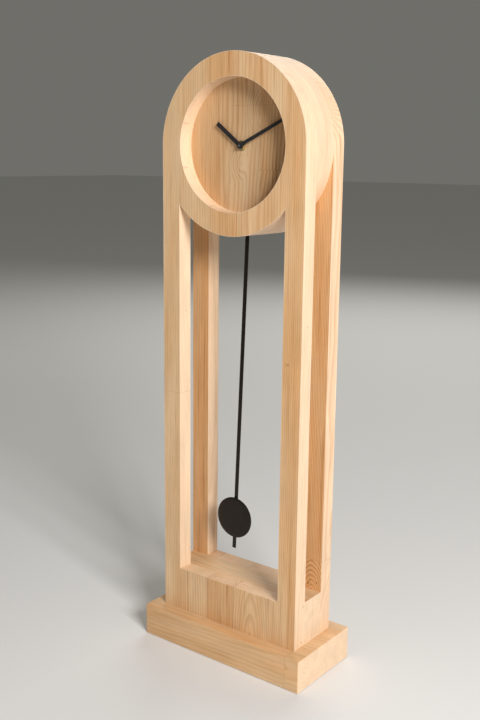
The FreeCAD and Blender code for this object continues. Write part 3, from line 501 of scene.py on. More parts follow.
# %% [markdown]
# ## Edges and the last touches of a piece
# Nothing that is sawn or moulded has a perfectly sharp edge. A Bevel modifier breaks every sharp edge, or
# only those that a rule picks. Each piece then gets its finish and its body, and its CAD node is hidden.

# %% Ease edges and settle pieces
def smooth(piece, angle=35):
    """Smooth shading except across edges sharper than the angle."""
    piece.data.shade_smooth()
    piece.data.set_sharp_from_angle(angle=math.radians(angle))
    return piece


def numbers(items, key, width=1, kind=float):
    """One property of every item of a mesh, as an array with width columns."""
    values = np.empty(len(items) * width, dtype=kind)
    items.foreach_get(key, values)
    return values.reshape(-1, width)


def edge_facts(mesh, angle):
    """Middles of a closed mesh's edges as an (n, 3) array, and which edges are sharper than the angle.

    Each edge's two faces are found by sorting the face corners by edge. The edge is sharp where the dot
    product of their normals is under the angle's cosine.
    """
    counts = numbers(mesh.polygons, "loop_total", 1, int)[:, 0]
    edge_of = numbers(mesh.loops, "edge_index", 1, int)[:, 0]
    corner_normals = np.repeat(numbers(mesh.polygons, "normal", 3), counts, axis=0)
    pairs = corner_normals[np.argsort(edge_of, kind="stable")].reshape(-1, 2, 3)
    middles = numbers(mesh.vertices, "co", 3)[numbers(mesh.edges, "vertices", 2, int)].mean(axis=1)
    return middles, (pairs[:, 0] * pairs[:, 1]).sum(axis=1) < math.cos(math.radians(angle))


def ease(piece, width, segments=3, angle=35, where=None):
    """Eased edges and smooth shading.

    A bevel goes on every edge sharper than the angle. where picks among them: it takes the edges' middles
    as an (n, 3) array and gives true for those to ease, the others stay crisp, as at a flush glue joint.
    """
    bevel = piece.modifiers.new("eased", "BEVEL")
    bevel.width = width
    bevel.segments = segments
    bevel.limit_method = "ANGLE"
    bevel.angle_limit = math.radians(angle)
    bevel.harden_normals = True
    if where:
        middles, sharp = edge_facts(piece.data, angle)
        weight = piece.data.attributes.new("bevel_weight_edge", "FLOAT", "EDGE")
        weight.data.foreach_set("value", (sharp & where(middles)).astype(float))
        bevel.limit_method = "WEIGHT"
    smooth(piece)
    return piece


def settle(piece, node, material=None):
    """Gives a piece its finish (its slot's, unless one is named) and its body, and hides its CAD node."""
    piece.data.materials.clear()
    piece.data.materials.append(material or FINISHES[SLOT_OF[node]])
    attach(piece, BODY_OF[node])
    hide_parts(node)
    print(piece.name, len(piece.data.polygons), "faces")
    return piece


print("edges are ready")

# %% [markdown]
# ## The two boards
# Each board is a glued panel sawn to an arch, with a round hole in its head and a tall window below,
# whose top follows the head's own circle. Its face is made of grids that meet point to point: a ring in
# polar form, a wedge and a strip for each stile, and the foot. The same outlines, drawn out from face to
# face, make the edges. The front board's hole has a step at the back for the dial's ring.

# %% Define a board
HORN = math.acos((HEAD_RADIUS - STILE) / HEAD_RADIUS)
STILE_X = np.linspace(HEAD_RADIUS - STILE, HEAD_RADIUS, 4)
STILE_Z = np.linspace(HEAD_Z - HEAD_RADIUS * math.sin(HORN), SILL_Z, 12)
SILL_X = np.linspace(-STILE_X[0], STILE_X[0], 9)
FOOT_XS = np.concatenate([-STILE_X[::-1], SILL_X[1:-1], STILE_X])
FOOT_ZS = np.linspace(SILL_Z, FOOT_Z, 4)
ARC_STEP = math.radians(2.0)


def arc(start, end):
    """Angles from start to end in steps of about ARC_STEP, both ends included."""
    return np.linspace(start, end, max(2, int(round(abs(end - start) / ARC_STEP)) + 1))


def ring_angles():
    """Angles once round the head, with a point exactly at each side and each horn of the window."""
    parts = [arc(-HORN, 0), arc(0, math.pi), arc(math.pi, math.pi + HORN),
             arc(math.pi + HORN, 2 * math.pi - HORN)]
    return np.concatenate([part[:-1] for part in parts])


def flat(x, z, y):
    """Points (x, y, z) from two arrays of one shape and a plane's y."""
    return np.stack([x, np.full_like(x, y), z], axis=-1)


def circle_at(radius, angles):
    """x and z of a circle about the head's middle: x = r cos a, z = HEAD_Z + r sin a."""
    return radius * np.cos(angles), HEAD_Z + radius * np.sin(angles)


def board_face(y, hole):
    """Grids of one face: ring r from hole to HEAD_RADIUS, wedges and strips of the stiles, foot."""
    turns = ring_angles()
    radii = np.linspace(hole, HEAD_RADIUS, 4)[:, None]
    x, z = circle_at(radii, turns[None, :])
    sheets = [(flat(x, z, y), False, True)]
    share = np.linspace(0, 1, 4)[:, None]
    strip, heights = np.meshgrid(STILE_X, STILE_Z, indexing="ij")
    for side in (1, -1):
        wedge_x, wedge_z = circle_at(HEAD_RADIUS, arc(-HORN, 0))
        x = side * (wedge_x[None, :] * (1 - share) + HEAD_RADIUS * share)
        sheets.append((flat(x, np.broadcast_to(wedge_z, x.shape).copy(), y), False, False))
        sheets.append((flat(side * strip, heights, y), False, False))
    x, z = np.meshgrid(FOOT_XS, FOOT_ZS, indexing="ij")
    sheets.append((flat(x, z, y), False, False))
    return sheets


def board_outlines():
    """Outer outline and window outline of a board as (x, z) arrays, point for point as on the faces."""
    wedge_z = circle_at(HEAD_RADIUS, arc(-HORN, 0))[1][::-1]
    side_z = np.concatenate([wedge_z[:-1], STILE_Z[:-1], FOOT_ZS])
    head_x, head_z = circle_at(HEAD_RADIUS, arc(0, math.pi))
    outer_x = np.concatenate([np.full(len(side_z), -HEAD_RADIUS), FOOT_XS[1:-1],
                              np.full(len(side_z), HEAD_RADIUS), head_x[1:-1]])
    outer_z = np.concatenate([side_z, np.full(len(FOOT_XS) - 2, FOOT_Z), side_z[::-1], head_z[1:-1]])
    top_x, top_z = circle_at(HEAD_RADIUS, arc(2 * math.pi - HORN, math.pi + HORN))
    inner_x = np.concatenate([top_x[:-1], np.full(len(STILE_Z), -STILE_X[0]), SILL_X[1:-1],
                              np.full(len(STILE_Z) - 1, STILE_X[0])])
    inner_z = np.concatenate([top_z[:-1], STILE_Z, np.full(len(SILL_X) - 2, SILL_Z), STILE_Z[::-1][:-1]])
    return (outer_x, outer_z), (inner_x, inner_z)


def board(name, y_front, y_back, steps):
    """A board between two planes; steps are the hole's (radius, y) from the front face to the back."""
    sheets = board_face(y_front, steps[0][0]) + board_face(y_back, steps[-1][0])
    for x, z in board_outlines():
        sheets.append((np.stack([flat(x, z, y_front), flat(x, z, y_back)]), False, True))
    turns = ring_angles()
    sheets.append((np.stack([flat(*circle_at(radius, turns), y) for radius, y in steps]), False, True))
    return skin(name, sheets)


# %% [markdown]
# The grain of each board runs up the clock. The front panel has pale outer staves, one with close
# straight lines and one with a pointed flame in its foot. The rear one is warmer. Only the edges that a
# hand can reach are eased: where the boards are glued to the drum and the block, they stay flush.

# %% Make the boards
def board_edges(finish, x, y, z):
    """Mask of a board's sawn edges: the stiles' outer and inner sides, the head's rim, the hole."""
    # The faces this picks are painted paler: partly sanded wood, partly painted light, the lamp's glare on
    # the side faces.
    up = z - HEAD_Z * 1000
    radius = (x * x + up.most(0.0) * up.most(0.0)).root()
    whole = (x * x + up * up).root()
    rim_at, jamb_at = HEAD_RADIUS * 1000, (HEAD_RADIUS - STILE) * 1000
    hole_at, sill_at = HOLE_RADIUS * 1000, SILL_Z * 1000
    jamb = finish.smooth(x.size(), jamb_at + 0.2, jamb_at + 0.8, 1.0, 0.0)
    jamb = jamb * finish.smooth(z, sill_at - 0.5, sill_at + 0.5)
    jamb = jamb * finish.smooth(whole, rim_at - 1.1, rim_at - 0.2)
    hole = finish.smooth(whole, hole_at + 0.2, hole_at + 1.2, 1.0, 0.0)
    return finish.smooth(radius, rim_at - 1.1, rim_at - 0.2).most(hole).most(jamb)


front_pine = pine(
    "pine_front", (0, 1, 2), -140, 280,
    [(-140, 0.25, 0.50, 3.1, -230, 20, 0.004, 0), (-97, 0.42, 0.60, 4.0, -170, 40, 0.006, 0.25),
     (-42.6, 0.74, 1.10, 3.0, -190, 30, 0.002, 0.6), (13.2, 0.40, 0.56, 4.2, 50, -46, 0.14, 0.7),
     (95.8, 0.66, 0.60, 3.4, 320, 50, 0.003, 0.3)],
    11.0, rise=150, calm=0.80, bend=1.4, sanded_and_lit=board_edges, joints=((-140, -104, 450, 30),),
    knots=((0, 116, 530, 2.4, 5.0, 0.35), (1, -36, 590, 1.3, 2.0, 0.5), (1, -28.7, 125, 1.6, 3.0, 0.5),
           (1, -32, 64, 1.6, 3.0, 0.4)))
rear_pine = pine(
    "pine_rear", (0, 1, 2), -140, 280,
    [(-140, 0.95, 1.00, 3.4, -210, 20, 0.006, 0), (-84, 0.60, 0.60, 4.0, -210, 110, -0.030, 0.4),
     (-12, 0.50, 0.55, 3.2, 180, 60, 0.004, 0.4), (52, 0.62, 0.60, 3.6, 240, 90, 0.020, 0.4),
     (103, 1.00, 1.40, 2.9, 121, -13, 0.35, 0.3)],
    47.0, rise=185, calm=1.0, tone=1.03, sanded_and_lit=board_edges, joints=((103, 140, 185, 90),),
    knots=((0, 114, 142, 1.6, 2.0, 0.9), (0, 131, 146, 1.4, 2.0, 0.9)))
BOARD_STEPS = [(HOLE_RADIUS, front_low[1]), (HOLE_RADIUS, ring_low[1]), (RING_RADIUS, ring_low[1]),
               (RING_RADIUS, front_high[1])]


def reachable(middles):
    """True for a board's edges that stay free: all but the head's and foot's edges at the glued face."""
    free = (middles[:, 2] > SILL_Z + MM) & (middles[:, 2] < HEAD_Z - MM) & (
        np.abs(middles[:, 0]) > HEAD_RADIUS - STILE - MM)
    step = np.hypot(middles[:, 0], middles[:, 2] - HEAD_Z) < RING_RADIUS + MM
    inside = (np.abs(middles[:, 1] - front_low[1]) > MM) & (np.abs(middles[:, 1] - rear_high[1]) > MM)
    return np.where(inside, free & ~step, True)


front_board = board("front_board_panel", front_low[1], front_high[1], BOARD_STEPS)
ease(front_board, 1.1 * MM, where=reachable)
settle(front_board, "front_board", front_pine)
rear_board = board("rear_board_panel", rear_low[1], rear_high[1],
                   [(HOLE_RADIUS, rear_low[1]), (HOLE_RADIUS, rear_high[1])])
ease(rear_board, 1.1 * MM, where=reachable)
settle(rear_board, "rear_board", rear_pine)

# %% [markdown]
# ## Drum, foot block and plinth
# The drum between the heads is a hoop of pine with its grain running round it, and a slot at the bottom
# for the pendulum. It is one grid over the angle and the depth, with the slot's cells left out, and a
# Solidify modifier gives it its wall. The block and the plinth have bores and sinks for dowels and long
# screws, so they are made from copies of their CAD solids.

# %% Make the drum
SLOT_HALF = 24 * MM
SLOT_Y = (-6 * MM, 10 * MM)


def drum():
    """Hoop: x = R cos a, z = HEAD_Z + R sin a over the angle and y, with the slot's cells left out."""
    half_slot = math.asin(SLOT_HALF / HEAD_RADIUS)
    down = 1.5 * math.pi
    turns = np.concatenate([arc(-0.5 * math.pi + half_slot, down - half_slot)[:-1],
                            np.linspace(down - half_slot, down + half_slot, 7)[:-1]])
    depths = np.array([block_low[1], SLOT_Y[0], SLOT_Y[1], block_high[1]])
    a, y = np.meshgrid(turns, depths, indexing="ij")
    points = np.stack([HEAD_RADIUS * np.cos(a), y, HEAD_Z + HEAD_RADIUS * np.sin(a)], axis=-1)
    faces = grid_faces(len(turns), len(depths), 0, wrap_rows=True)
    in_slot = (faces[:, 0] % len(depths) == 1) & (faces[:, 0] // len(depths) >= len(turns) - 6)
    piece = mesh_piece("drum_hoop", points.reshape(-1, 3), faces[~in_slot])
    wall = piece.modifiers.new("wall", "SOLIDIFY")
    wall.thickness = DRUM_WALL
    wall.offset = -1.0
    return piece


def hoop_places(finish):
    """Places on a hoop in millimetres: y across, radius deep, arc length along."""
    x, y, z = finish.place()
    up = z - HEAD_Z * 1000
    radius = (x * x + up * up).root()
    angle = finish.node("ShaderNodeMath", {"operation": "ARCTAN2"}, {0: x, 1: up})
    return [y, radius, angle * (HEAD_RADIUS * 1000)]


# The hoop's outer face is painted paler: partly sanded wood, partly painted light, the lamp's glare on it.
drum_pine = pine(
    "pine_drum", (0, 1, 2), -24, 48, [(-24, 0.45, 0.50, 5.5, -160, 150, 0.010, 0),
                                      (4, 0.55, 0.60, 6.5, 140, 160, -0.008, 0.15)],
    5.0, tone=0.98, bend=1.6, places=hoop_places,
    sanded_and_lit=lambda finish, y, radius, along: finish.smooth(radius, 138.0, 139.5))
hoop = drum()
settle(ease(hoop, 0.25 * MM, 2), "head_drum", drum_pine)


# %% [markdown]
# In a copy of a CAD node, doubled points are joined and flat faces made whole, and then a Bevel can ease
# its edges. The block's grain runs from side to side and so does the plinth's, which is glued up from
# two lengths that meet in a joint near its right end.

# %% Make the block and the plinth
def refined(node, width=0.0, segments=2, angle=30, material=None):
    """Copy of a CAD node: its loose triangles are joined, its flats are made whole, its edges eased."""
    piece = bpy.data.objects.new(node + "_made", NODES[node].data.copy())
    bpy.context.scene.collection.objects.link(piece)
    work = bmesh.new()
    work.from_mesh(piece.data)
    bmesh.ops.remove_doubles(work, verts=work.verts, dist=MERGE)
    bmesh.ops.dissolve_limit(work, angle_limit=math.radians(0.5), verts=work.verts, edges=work.edges)
    work.to_mesh(piece.data)
    work.free()
    if width:
        ease(piece, width, segments, angle)
    else:
        smooth(piece, angle)
    return settle(piece, node, material)


# The block's two ends are painted paler: partly sanded wood, partly painted light, the lamp's glare on the
# side faces.
block_pine = pine(
    "pine_block", (1, 2, 0), -24, 48, [(-24, 0.40, 0.44, 3.4, -60, 160, 0.012, 0),
                                       (0, 0.50, 0.50, 4.0, 20, 30, 0.015, 0.4)],
    31.0, tone=0.93, sanded_and_lit=lambda finish, x, y, z: finish.smooth(x.size(), 139.0, 139.8))
# The plinth's two ends are painted paler: partly sanded wood, partly painted light, the lamp's glare on
# the side faces.
plinth_pine = pine(
    "pine_plinth", (2, 1, 0), 0, 60, [(0, 0.52, 0.34, 7.5, 84, -66, 0.120, 0)], 29.0,
    joints=((0, 60, 138, 40),), bend=2.4, tone=0.95,
    sanded_and_lit=lambda finish, x, y, z: finish.smooth(x.size(), 164.0, 164.8))
refined("bottom_block", material=block_pine)
refined("plinth", material=plinth_pine)

# %% [markdown]
# ## Dial and ring
# The dial is a flat disc of lively pine at the bottom of the hole, and the ring in front of it is pine
# too. Both are turned: a closed outline of radius and place along the axis is carried once round that
# axis. A shape function may change the radius on the way round, which gives threads, flutes and knurls.

# %% Turn the dial and its ring
def turned(outline, centre, axis=1, steps=96, shape=None):
    """Sheet of a turned surface about a line through centre along an axis.

    The outline is (radius, place along the axis). The two other coordinates are c1 + r cos a and
    c2 + r sin a. shape(r, a, place) may return another radius. A point of radius 0 becomes a pole.
    """
    outline = np.array(outline, dtype=float)
    radius, turn = np.meshgrid(outline[:, 0], np.linspace(0, 2 * math.pi, steps, endpoint=False),
                               indexing="ij")
    along = outline[:, 1][:, None] + 0 * turn
    if shape:
        radius = shape(radius, turn, along)
    first, second = [i for i in range(3) if i != axis]
    sheet = np.zeros(radius.shape + (3,))
    sheet[..., axis] = along
    sheet[..., first] = centre[first] + radius * np.cos(turn)
    sheet[..., second] = centre[second] + radius * np.sin(turn)
    return sheet, outline[0, 0] > 1e-9, True


def lathe(name, outline, centre, axis=1, steps=96, shape=None):
    """One closed turned piece."""
    return skin(name, [turned(outline, centre, axis, steps, shape)])


HEAD_MIDDLE = (0.0, 0.0, HEAD_Z)
BUSH_HOLE = 4.1 * MM
dial_pine = pine(
    "pine_dial", (0, 1, 2), -122, 244,
    [(-122, 0.66, 0.60, 3.4, -300, 10, 0.003, 0), (-46, 0.30, 0.60, 8.0, -30, 20, -0.050, 0.16),
     (36, 0.72, 0.95, 5.2, 200, 60, 0.060, 0.20)],
    63.0, tone=0.85, bend=2.6,
    knots=((0, -6, 833, 6.5, 21.0, 0.06), (0, 3, 857, 4.0, 9.0, 0.25), (0, 30, 916, 8.0, 20.0, 0.10),
           (0, 34, 890, 4.0, 12.0, 0.06)),
    joints=((-20, 122, 921, 40), (30, 122, 823, -25)))
# The ring is painted paler: partly sanded wood, partly painted light, the lamp's glare on the hole's wall.
ring_pine = pine("pine_ring", (0, 1, 2), -110, 220, [(-110, 0.20, 0.30, 3.2, -260, 20, 0.01, 0)], 77.0,
                 sanded_and_lit=lambda finish, x, y, z: finish.smooth(y, -24.0, -23.0, 0.7, 0.0))
dial_disc = lathe("dial_disc", [(BUSH_HOLE, dial_low[1]), (DIAL_RADIUS, dial_low[1]),
                                (DIAL_RADIUS, dial_high[1]), (BUSH_HOLE, dial_high[1])],
                  HEAD_MIDDLE, 1, 144)
settle(ease(dial_disc, 0.3 * MM, 2), "dial", dial_pine)
hole_ring = lathe("dial_ring_hoop", [(HOLE_RADIUS, ring_low[1]), (RING_RADIUS, ring_low[1]),
                                     (RING_RADIUS, ring_high[1]), (HOLE_RADIUS, ring_high[1])],
                  HEAD_MIDDLE, 1, 144)
settle(ease(hole_ring, 0.4 * MM, 2), "dial_ring", ring_pine)

# %% [markdown]
# ## Finishes for the small pieces
# Plastics, metals and paints differ mainly in how they shine. Each gets a fine noise in its roughness
# and a little relief, at the size of the real texture, so that none of them looks like a flat colour.

# %% Define paint, plastic and metal
def paint(name, colour, rough, speckle=1.4, depth=0.00003, ior=1.5, tint=(1, 1, 1, 1)):
    """Sprayed satin paint: fine orange peel, and a slow drift in its gloss. tint colours its shine."""
    finish = Finish(name, IOR=ior, Specular_Tint=tint)
    x, y, z = finish.place()
    spot = finish.vector(x, y, z)
    peel = finish.noise(spot, speckle, 3.0)
    drift = finish.noise(spot, 0.02, 2.0)
    shade = finish.mix(drift, scaled(colour, 0.85), scaled(colour, 1.15))
    finish.feed(Base_Color=shade, Roughness=drift * 0.10 + peel * 0.08 + (rough - 0.09))
    finish.bump(peel, depth, 0.5)
    return finish.material


def metal(name, colour, rough, grain=(6.0, 0.4, 6.0), depth=0.00002):
    """Bright metal with fine machining lines; grain says how quickly they change along X, Y and Z."""
    finish = Finish(name, Metallic=1.0)
    x, y, z = finish.place()
    lines = finish.noise(finish.vector(x * grain[0], y * grain[1], z * grain[2]), 1.0, 3.0, 0.7)
    tarnish = finish.noise(finish.vector(x, y, z), 0.35, 2.0)
    shade = finish.mix(tarnish, scaled(colour, 0.86), colour)
    finish.feed(Base_Color=shade, Roughness=lines * 0.14 + tarnish * 0.1 + (rough - 0.12))
    finish.bump(lines, depth, 0.4)
    return finish.material


print("paint and metal are ready")

# %% [markdown]
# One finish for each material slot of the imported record, by the slot's name.

# %% Mix the finishes
FINISHES = {
    "pendulum_black": paint("black_satin_paint", (0.012, 0.0085, 0.0065), 0.24, ior=1.36,
                            tint=(1.0, 0.88, 0.78, 1)),
    "hand_black": paint("black_matt_paint", (0.014, 0.014, 0.015), 0.5, 2.5),
    "black_plastic": paint("black_moulding", (0.020, 0.020, 0.021), 0.55, 3.0, 0.00006),
    "hanger_plastic": paint("hanger_moulding", (0.035, 0.035, 0.037), 0.5, 3.0, 0.00005),
    "white_plastic": paint("acetal_moulding", (0.72, 0.71, 0.67), 0.4, 0.8, 0.00002),
    "magnet_grey": paint("ferrite", (0.060, 0.060, 0.065), 0.6, 4.0, 0.00008),
    "board_green": paint("solder_mask", (0.010, 0.110, 0.045), 0.3, 0.9, 0.00003),
    "chip_resin": paint("black_epoxy", (0.012, 0.012, 0.012), 0.35, 0.6, 0.00002),
    "battery_sleeve": paint("cell_sleeve", (0.16, 0.17, 0.18), 0.28, 0.5, 0.00001),
    "grey_felt": paint("pressed_felt", (0.070, 0.070, 0.072), 0.95, 5.0, 0.0004),
    "brass_turned": metal("turned_brass", (0.83, 0.66, 0.36), 0.30),
    "bright_steel": metal("bright_steel", (0.72, 0.72, 0.73), 0.28),
    "zinc_steel": metal("zinc_plate", (0.70, 0.71, 0.70), 0.38, (2.0, 2.0, 2.0)),
    "nickel_strip": metal("nickel_strip", (0.70, 0.68, 0.63), 0.25, (0.4, 6.0, 6.0)),
    "copper_wire": metal("enamelled_copper", (0.62, 0.22, 0.08), 0.3, (9.0, 9.0, 0.6), 0.0001),
    "beech_dowel": pine("beech", (0, 2, 1), -200, 400, [(-200, 0.4, 0.25, 1.6, -90, 60, 0.01, 0)], 91.0),
}
print("finishes", len(bpy.data.materials))

# %% [markdown]
# ## Hands and pendulum
# The hands are plain batons stamped from sheet, painted matt black, so their edges are only just broken.
# The pendulum's rod is a flat bar, and its bob is a disc with a slightly crowned face. The crown is what
# bends the reflection across it: its outline is a superellipse, a curve between a circle and a box.

# %% Make the hands and the pendulum
def crowned(radius, low, high, power=9.0, rows=41):
    """Outline of a crowned disc: (r / R)^p + (y / H)^p = 1 about its middle plane."""
    turn = np.linspace(0, math.pi, rows)
    sine, cosine = np.sin(turn), np.cos(turn)
    middle, half = (low + high) / 2, (high - low) / 2
    across = radius * np.abs(sine) ** (2 / power)
    across[[0, -1]] = 0.0
    return np.stack([across, middle - half * np.sign(cosine) * np.abs(cosine) ** (2 / power)], axis=1)


bob_low, bob_high = reach("pendulum_bob")
bob = lathe("bob_disc", crowned((bob_high[0] - bob_low[0]) / 2, bob_low[1], bob_high[1], 5.0),
            (bob_low + bob_high) / 2, 1, 128)
settle(smooth(bob, 60), "pendulum_bob")
refined("pendulum_rod", 0.3 * MM, 3)
for node in ("hour_hand", "minute_hand"):
    refined(node, 0.18 * MM, 3)

# %% [markdown]
# ## Screws and dowels
# A screw's shank is a turned surface whose radius follows a helix: the phase grows by one for each
# pitch along the axis and falls by one for each turn, and a triangle wave of it is the thread. The
# heads behind the dial are domes with a cross recess.

# %% Define a thread and a cross head
def threaded(core, pitch, depth, start, end):
    """Shape function of a thread: r grows by depth times a triangle wave of the helix's phase."""
    def shape(radius, turn, along):
        phase = (along / pitch - turn / (2 * math.pi)) % 1.0
        fade = np.clip((along - start) / (2 * pitch), 0, 1) * np.clip((end - along) / (2 * pitch), 0, 1)
        ridge = depth * fade * (1 - 2 * np.abs(phase - 0.5))
        return np.where(radius > core * 0.8, radius + ridge, radius)
    return shape


def cross_head(x, z, seat, radius, height):
    """Domed head: y = seat + h (1 - 0.8 s^4) less a cross-shaped recess, over s = r / R and the angle."""
    share, turn = np.meshgrid(np.linspace(0, 1, 22), np.linspace(0, 2 * math.pi, 72, endpoint=False),
                              indexing="ij")
    u, v = share * radius * np.cos(turn), share * radius * np.sin(turn)
    narrow = np.minimum(np.abs(u), np.abs(v))
    wide = np.maximum(np.abs(u), np.abs(v))
    recess = np.clip((0.45 * MM - narrow) / (0.2 * MM), 0, 1)
    recess = recess * np.clip((1.7 * MM - wide) / (0.5 * MM), 0, 1)
    y = seat + height * (1 - 0.8 * share ** 4) - recess * 0.9 * MM
    top = np.stack([x + u, y, z + v], axis=-1)
    under = top[[-1, 0]].copy()
    under[..., 1] = seat
    under[1, :, 0], under[1, :, 2] = x, z
    return np.concatenate([top, under]), False, True


print("threads are ready")

# %% [markdown]
# Six small screws hold the dial from behind, and four long ones come up through the plinth.

# %% Make the screws
DIAL_SCREW_TURNS = np.radians(np.arange(30, 360, 60))
DIAL_SCREW_RING = 116 * MM
DIAL_SCREW_CORE, DIAL_SCREW_PITCH, DIAL_SCREW_RIDGE = 1.15 * MM, 1.1 * MM, 0.33 * MM
DIAL_SCREW_HEAD = 3.0 * MM
screw_low, screw_high = reach("dial_screws")
seat = dial_high[1]
sheets = []
for turn in DIAL_SCREW_TURNS:
    x, z = DIAL_SCREW_RING * math.cos(turn), HEAD_Z + DIAL_SCREW_RING * math.sin(turn)
    rows = np.linspace(screw_low[1] + 2 * MM, seat, 90)
    outline = [(0, screw_low[1])] + [(DIAL_SCREW_CORE, y) for y in rows] + [(0, seat)]
    thread = threaded(DIAL_SCREW_CORE, DIAL_SCREW_PITCH, DIAL_SCREW_RIDGE, screw_low[1], seat - 3 * MM)
    sheets.append(turned(outline, (x, 0, z), 1, 20, thread))
    sheets.append(cross_head(x, z, seat, DIAL_SCREW_HEAD, screw_high[1] - seat))
settle(smooth(skin("dial_screws_made", sheets), 40), "dial_screws")

FOOT_SCREWS = [(a * 75 * MM, b * 12 * MM) for a in (-1, 1) for b in (-1, 1)]
FOOT_SCREW_CORE, FOOT_SCREW_PITCH, FOOT_SCREW_RIDGE = 1.95 * MM, 1.8 * MM, 0.5 * MM
long_low, long_high = reach("plinth_screws")
sheets = []
for x, y in FOOT_SCREWS:
    tip = long_high[2]
    rows = np.linspace(long_low[2] + 3.2 * MM, tip - 4 * MM, 240)
    outline = [(0, long_low[2] + 1.2 * MM), (3.4 * MM, long_low[2] + 1.0 * MM), (5.2 * MM, long_low[2]),
               (5.5 * MM, long_low[2] + 0.4 * MM), (2.0 * MM, long_low[2] + 3.0 * MM)]
    outline += [(FOOT_SCREW_CORE, z) for z in rows] + [(0, tip)]
    thread = threaded(FOOT_SCREW_CORE, FOOT_SCREW_PITCH, FOOT_SCREW_RIDGE, long_low[2] + 20 * MM,
                      tip - 4 * MM)
    sheets.append(turned(outline, (x, y, 0), 2, 20, thread))
settle(smooth(skin("plinth_screws_made", sheets), 40), "plinth_screws")

# %% [markdown]
# Dowels are turned too, with flutes that let the glue out and a chamfer at each end.

# %% Make the dowels
DOWEL_RADIUS = 4 * MM
DOWEL_TIP = 3.3 * MM
DOWEL_RING = 132 * MM
FOOT_DOWEL_Z = 94 * MM
dowel_low, dowel_high = reach("assembly_dowels")
ring_turns = np.radians(np.arange(0, 360, 60))
DOWEL_PLACES = [(DOWEL_RING * math.cos(turn), HEAD_Z + DOWEL_RING * math.sin(turn)) for turn in ring_turns]
DOWEL_PLACES += [(x * MM, FOOT_DOWEL_Z) for x in (-110, -40, 40, 110)]


def fluted(radius, turn, along):
    """Flutes: the radius dips by 4.5 percent in a rounded wave, twelve times round."""
    return radius * (1 - 0.045 * (0.5 + 0.5 * np.cos(12 * turn)) ** 2)


dowel_outline = [(0, dowel_low[1]), (DOWEL_TIP, dowel_low[1]), (DOWEL_RADIUS, dowel_low[1] + MM),
                 (DOWEL_RADIUS, dowel_high[1] - MM), (DOWEL_TIP, dowel_high[1]), (0, dowel_high[1])]
dowels = skin("dowels_made", [turned(dowel_outline, (x, 0, z), 1, 72, fluted) for x, z in DOWEL_PLACES])
settle(smooth(dowels, 30), "assembly_dowels")

# %% [markdown]
# ## Felt pads
# Four discs of pressed felt under the plinth. Felt has no crisp edge, so the outline is crowned and the
# rim wanders a little.

# %% Make the felt pads
def frayed(radius, turn, along):
    """A rim that wanders: two waves of different count round the pad, 1.4 percent in all."""
    return radius * (0.992 + 0.003 * np.cos(23 * turn) + 0.003 * np.sin(37 * turn + 900 * along))


PAD_RADIUS, PAD_X, PAD_Y = 12 * MM, 142 * MM, 55 * MM
pad_low, pad_high = reach("felt_pads")
pads = skin("felt_pads_made", [
    turned(crowned(PAD_RADIUS, pad_low[2], pad_high[2], 7.0, 31), (x, y, 0), 2, 96, frayed)
    for x in (-PAD_X, PAD_X) for y in (-PAD_Y, PAD_Y)])
settle(smooth(pads, 60), "felt_pads")

# %% [markdown]
# ## Inside the movement
# Coils are turned surfaces with a ridge for every turn of wire on the outside. Their bore is read from
# the CAD solid itself.

# %% Wind the coils
def wound(name, node, axis, pitch):
    """Coil: the outer radius is R less half a wire, plus half a wire's arch for each turn."""
    low, high = reach(node)
    first, second = [i for i in range(3) if i != axis]
    middle = (low + high) / 2
    points = numbers(NODES[node].data.vertices, "co", 3)
    bore = np.hypot(points[:, first] - middle[first], points[:, second] - middle[second]).min()
    outer = (high[first] - low[first]) / 2
    turns = int((high[axis] - low[axis]) / pitch)
    place = np.linspace(low[axis], high[axis], turns * 6 + 1)
    arch = np.abs(np.sin(math.pi * turns * (place - low[axis]) / (high[axis] - low[axis])))
    outline = [(bore, high[axis]), (bore, low[axis])]
    outline += list(zip(outer - pitch * 0.5 * (1 - arch), place))
    return settle(smooth(lathe(name, outline, middle, axis, 48), 60), node)


wound("drive_coil_turns", "drive_winding", 1, 0.30 * MM)
wound("motor_coil_turns", "motor_winding", 0, 0.25 * MM)

# %% [markdown]
# The cell is turned about X. Its finish depends on place: steel where the radius is small, and a sleeve
# with a warm band at the positive end elsewhere.

# %% Make the cell
cell_low, cell_high = reach("battery")
cell_y = (cell_low[1] + cell_high[1]) / 2
CELL_RADIUS = 7.0 * MM
CELL_NUB = 1.4 * MM
left, right_end = cell_low[0], cell_high[0] - CELL_NUB
left_end = [(0, 0.5), (4.6, 0.5), (4.9, 0.1), (5.8, 0), (6.7, 0.2), (7.0, 0.9)]
right_side = [(7.0, -0.9), (6.7, -0.2), (5.9, 0), (5.2, -0.3), (2.9, -0.3), (2.7, 0)]
tip = [(2.6, -0.2), (2.3, 0), (0, 0)]
cell_outline = [(radius * MM, start + along * MM)
                for start, part in ((left, left_end), (right_end, right_side), (cell_high[0], tip))
                for radius, along in part]
cell = lathe("battery_cell", cell_outline, (0, cell_y, cell_low[2] + CELL_RADIUS), 0, 96)
sleeve = Finish("cell_sleeve", IOR=1.5)
x, y, z = sleeve.place()
beside, over = y - float(cell_y * 1000), z - float((cell_low[2] + CELL_RADIUS) * 1000)
radius = (beside * beside + over * over).root()
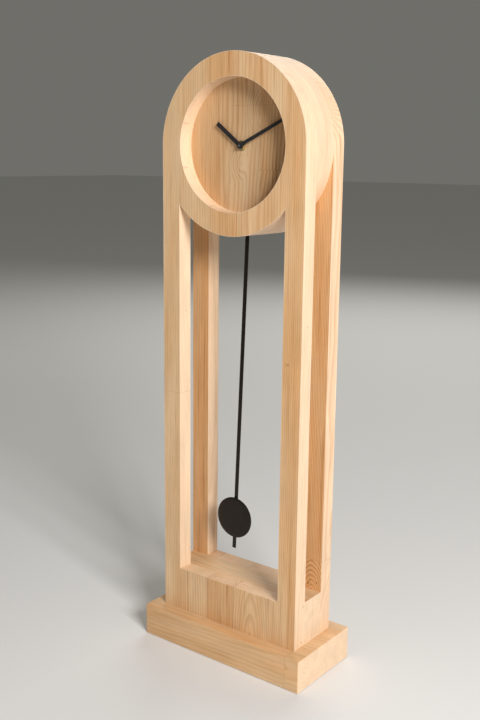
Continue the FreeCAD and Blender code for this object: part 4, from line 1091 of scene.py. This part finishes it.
band = sleeve.smooth(x, 9.0, 9.1)
film = sleeve.mix(band, (0.045, 0.048, 0.055), (0.55, 0.30, 0.10))
bare = sleeve.smooth(radius, 6.2, 6.4, 1.0, 0.0)
scuff = sleeve.noise(sleeve.vector(x, y, z), 0.4, 3.0)
sleeve.feed(Base_Color=sleeve.mix(bare, film, (0.70, 0.70, 0.71)), Metallic=bare,
            Roughness=scuff * 0.15 + 0.22)
settle(smooth(cell, 40), "battery", sleeve.material)

# %% [markdown]
# ## The rest of the movement
# Case halves, wheels, contacts, the circuit board and small turned fittings keep the exact shapes of
# their CAD solids. Most get a broken edge of the size that moulding or turning leaves; the two wheels and
# the knob only get smooth shading.

# %% Make the rest
EDGE_OF = {"movement_case_front": 0.5, "movement_case_back": 0.5, "centre_bush": 0.12, "bush_washer": 0.1,
           "bush_nut": 0.25, "minute_shaft": 0.12, "hour_wheel": 0.0, "intermediate_wheel": 0.0,
           "setting_knob": 0.0, "motor_stator": 0.1, "motor_bobbin": 0.12, "motor_rotor": 0.12,
           "circuit_board": 0.1, "clock_chip": 0.15, "drive_bobbin": 0.12, "battery_contacts": 0.06,
           "pivot_pin": 0.15, "pendulum_hanger": 0.2, "drive_magnet": 0.15, "bob_clip": 0.15}
for node, width in EDGE_OF.items():
    refined(node, width * MM)

# %% [markdown]
# The setting knob gets a knurled grip, a piece of its own around the CAD knob, which turns with it.

# %% Make the knob's grip
def knurled(radius, turn, along):
    """Knurl: thirty rounded ribs, each a quarter of a millimetre deep."""
    return np.where(radius > 4 * MM, radius - 0.25 * MM * (0.5 - 0.5 * np.cos(30 * turn)), radius)


knob_low, knob_high = reach("setting_knob")
knob_middle = (knob_low + knob_high) / 2
grip_outline = [(4.0, -1.3), (5.2, -1.3), (5.3, -1.0), (5.3, 2.0), (5.1, 2.4), (4.0, 2.4)]
grip = lathe("knob_grip", np.array(grip_outline) * MM, knob_middle, 1, 240, knurled)
smooth(grip, 50)
grip.data.materials.append(FINISHES["white_plastic"])
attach(grip, "knob")
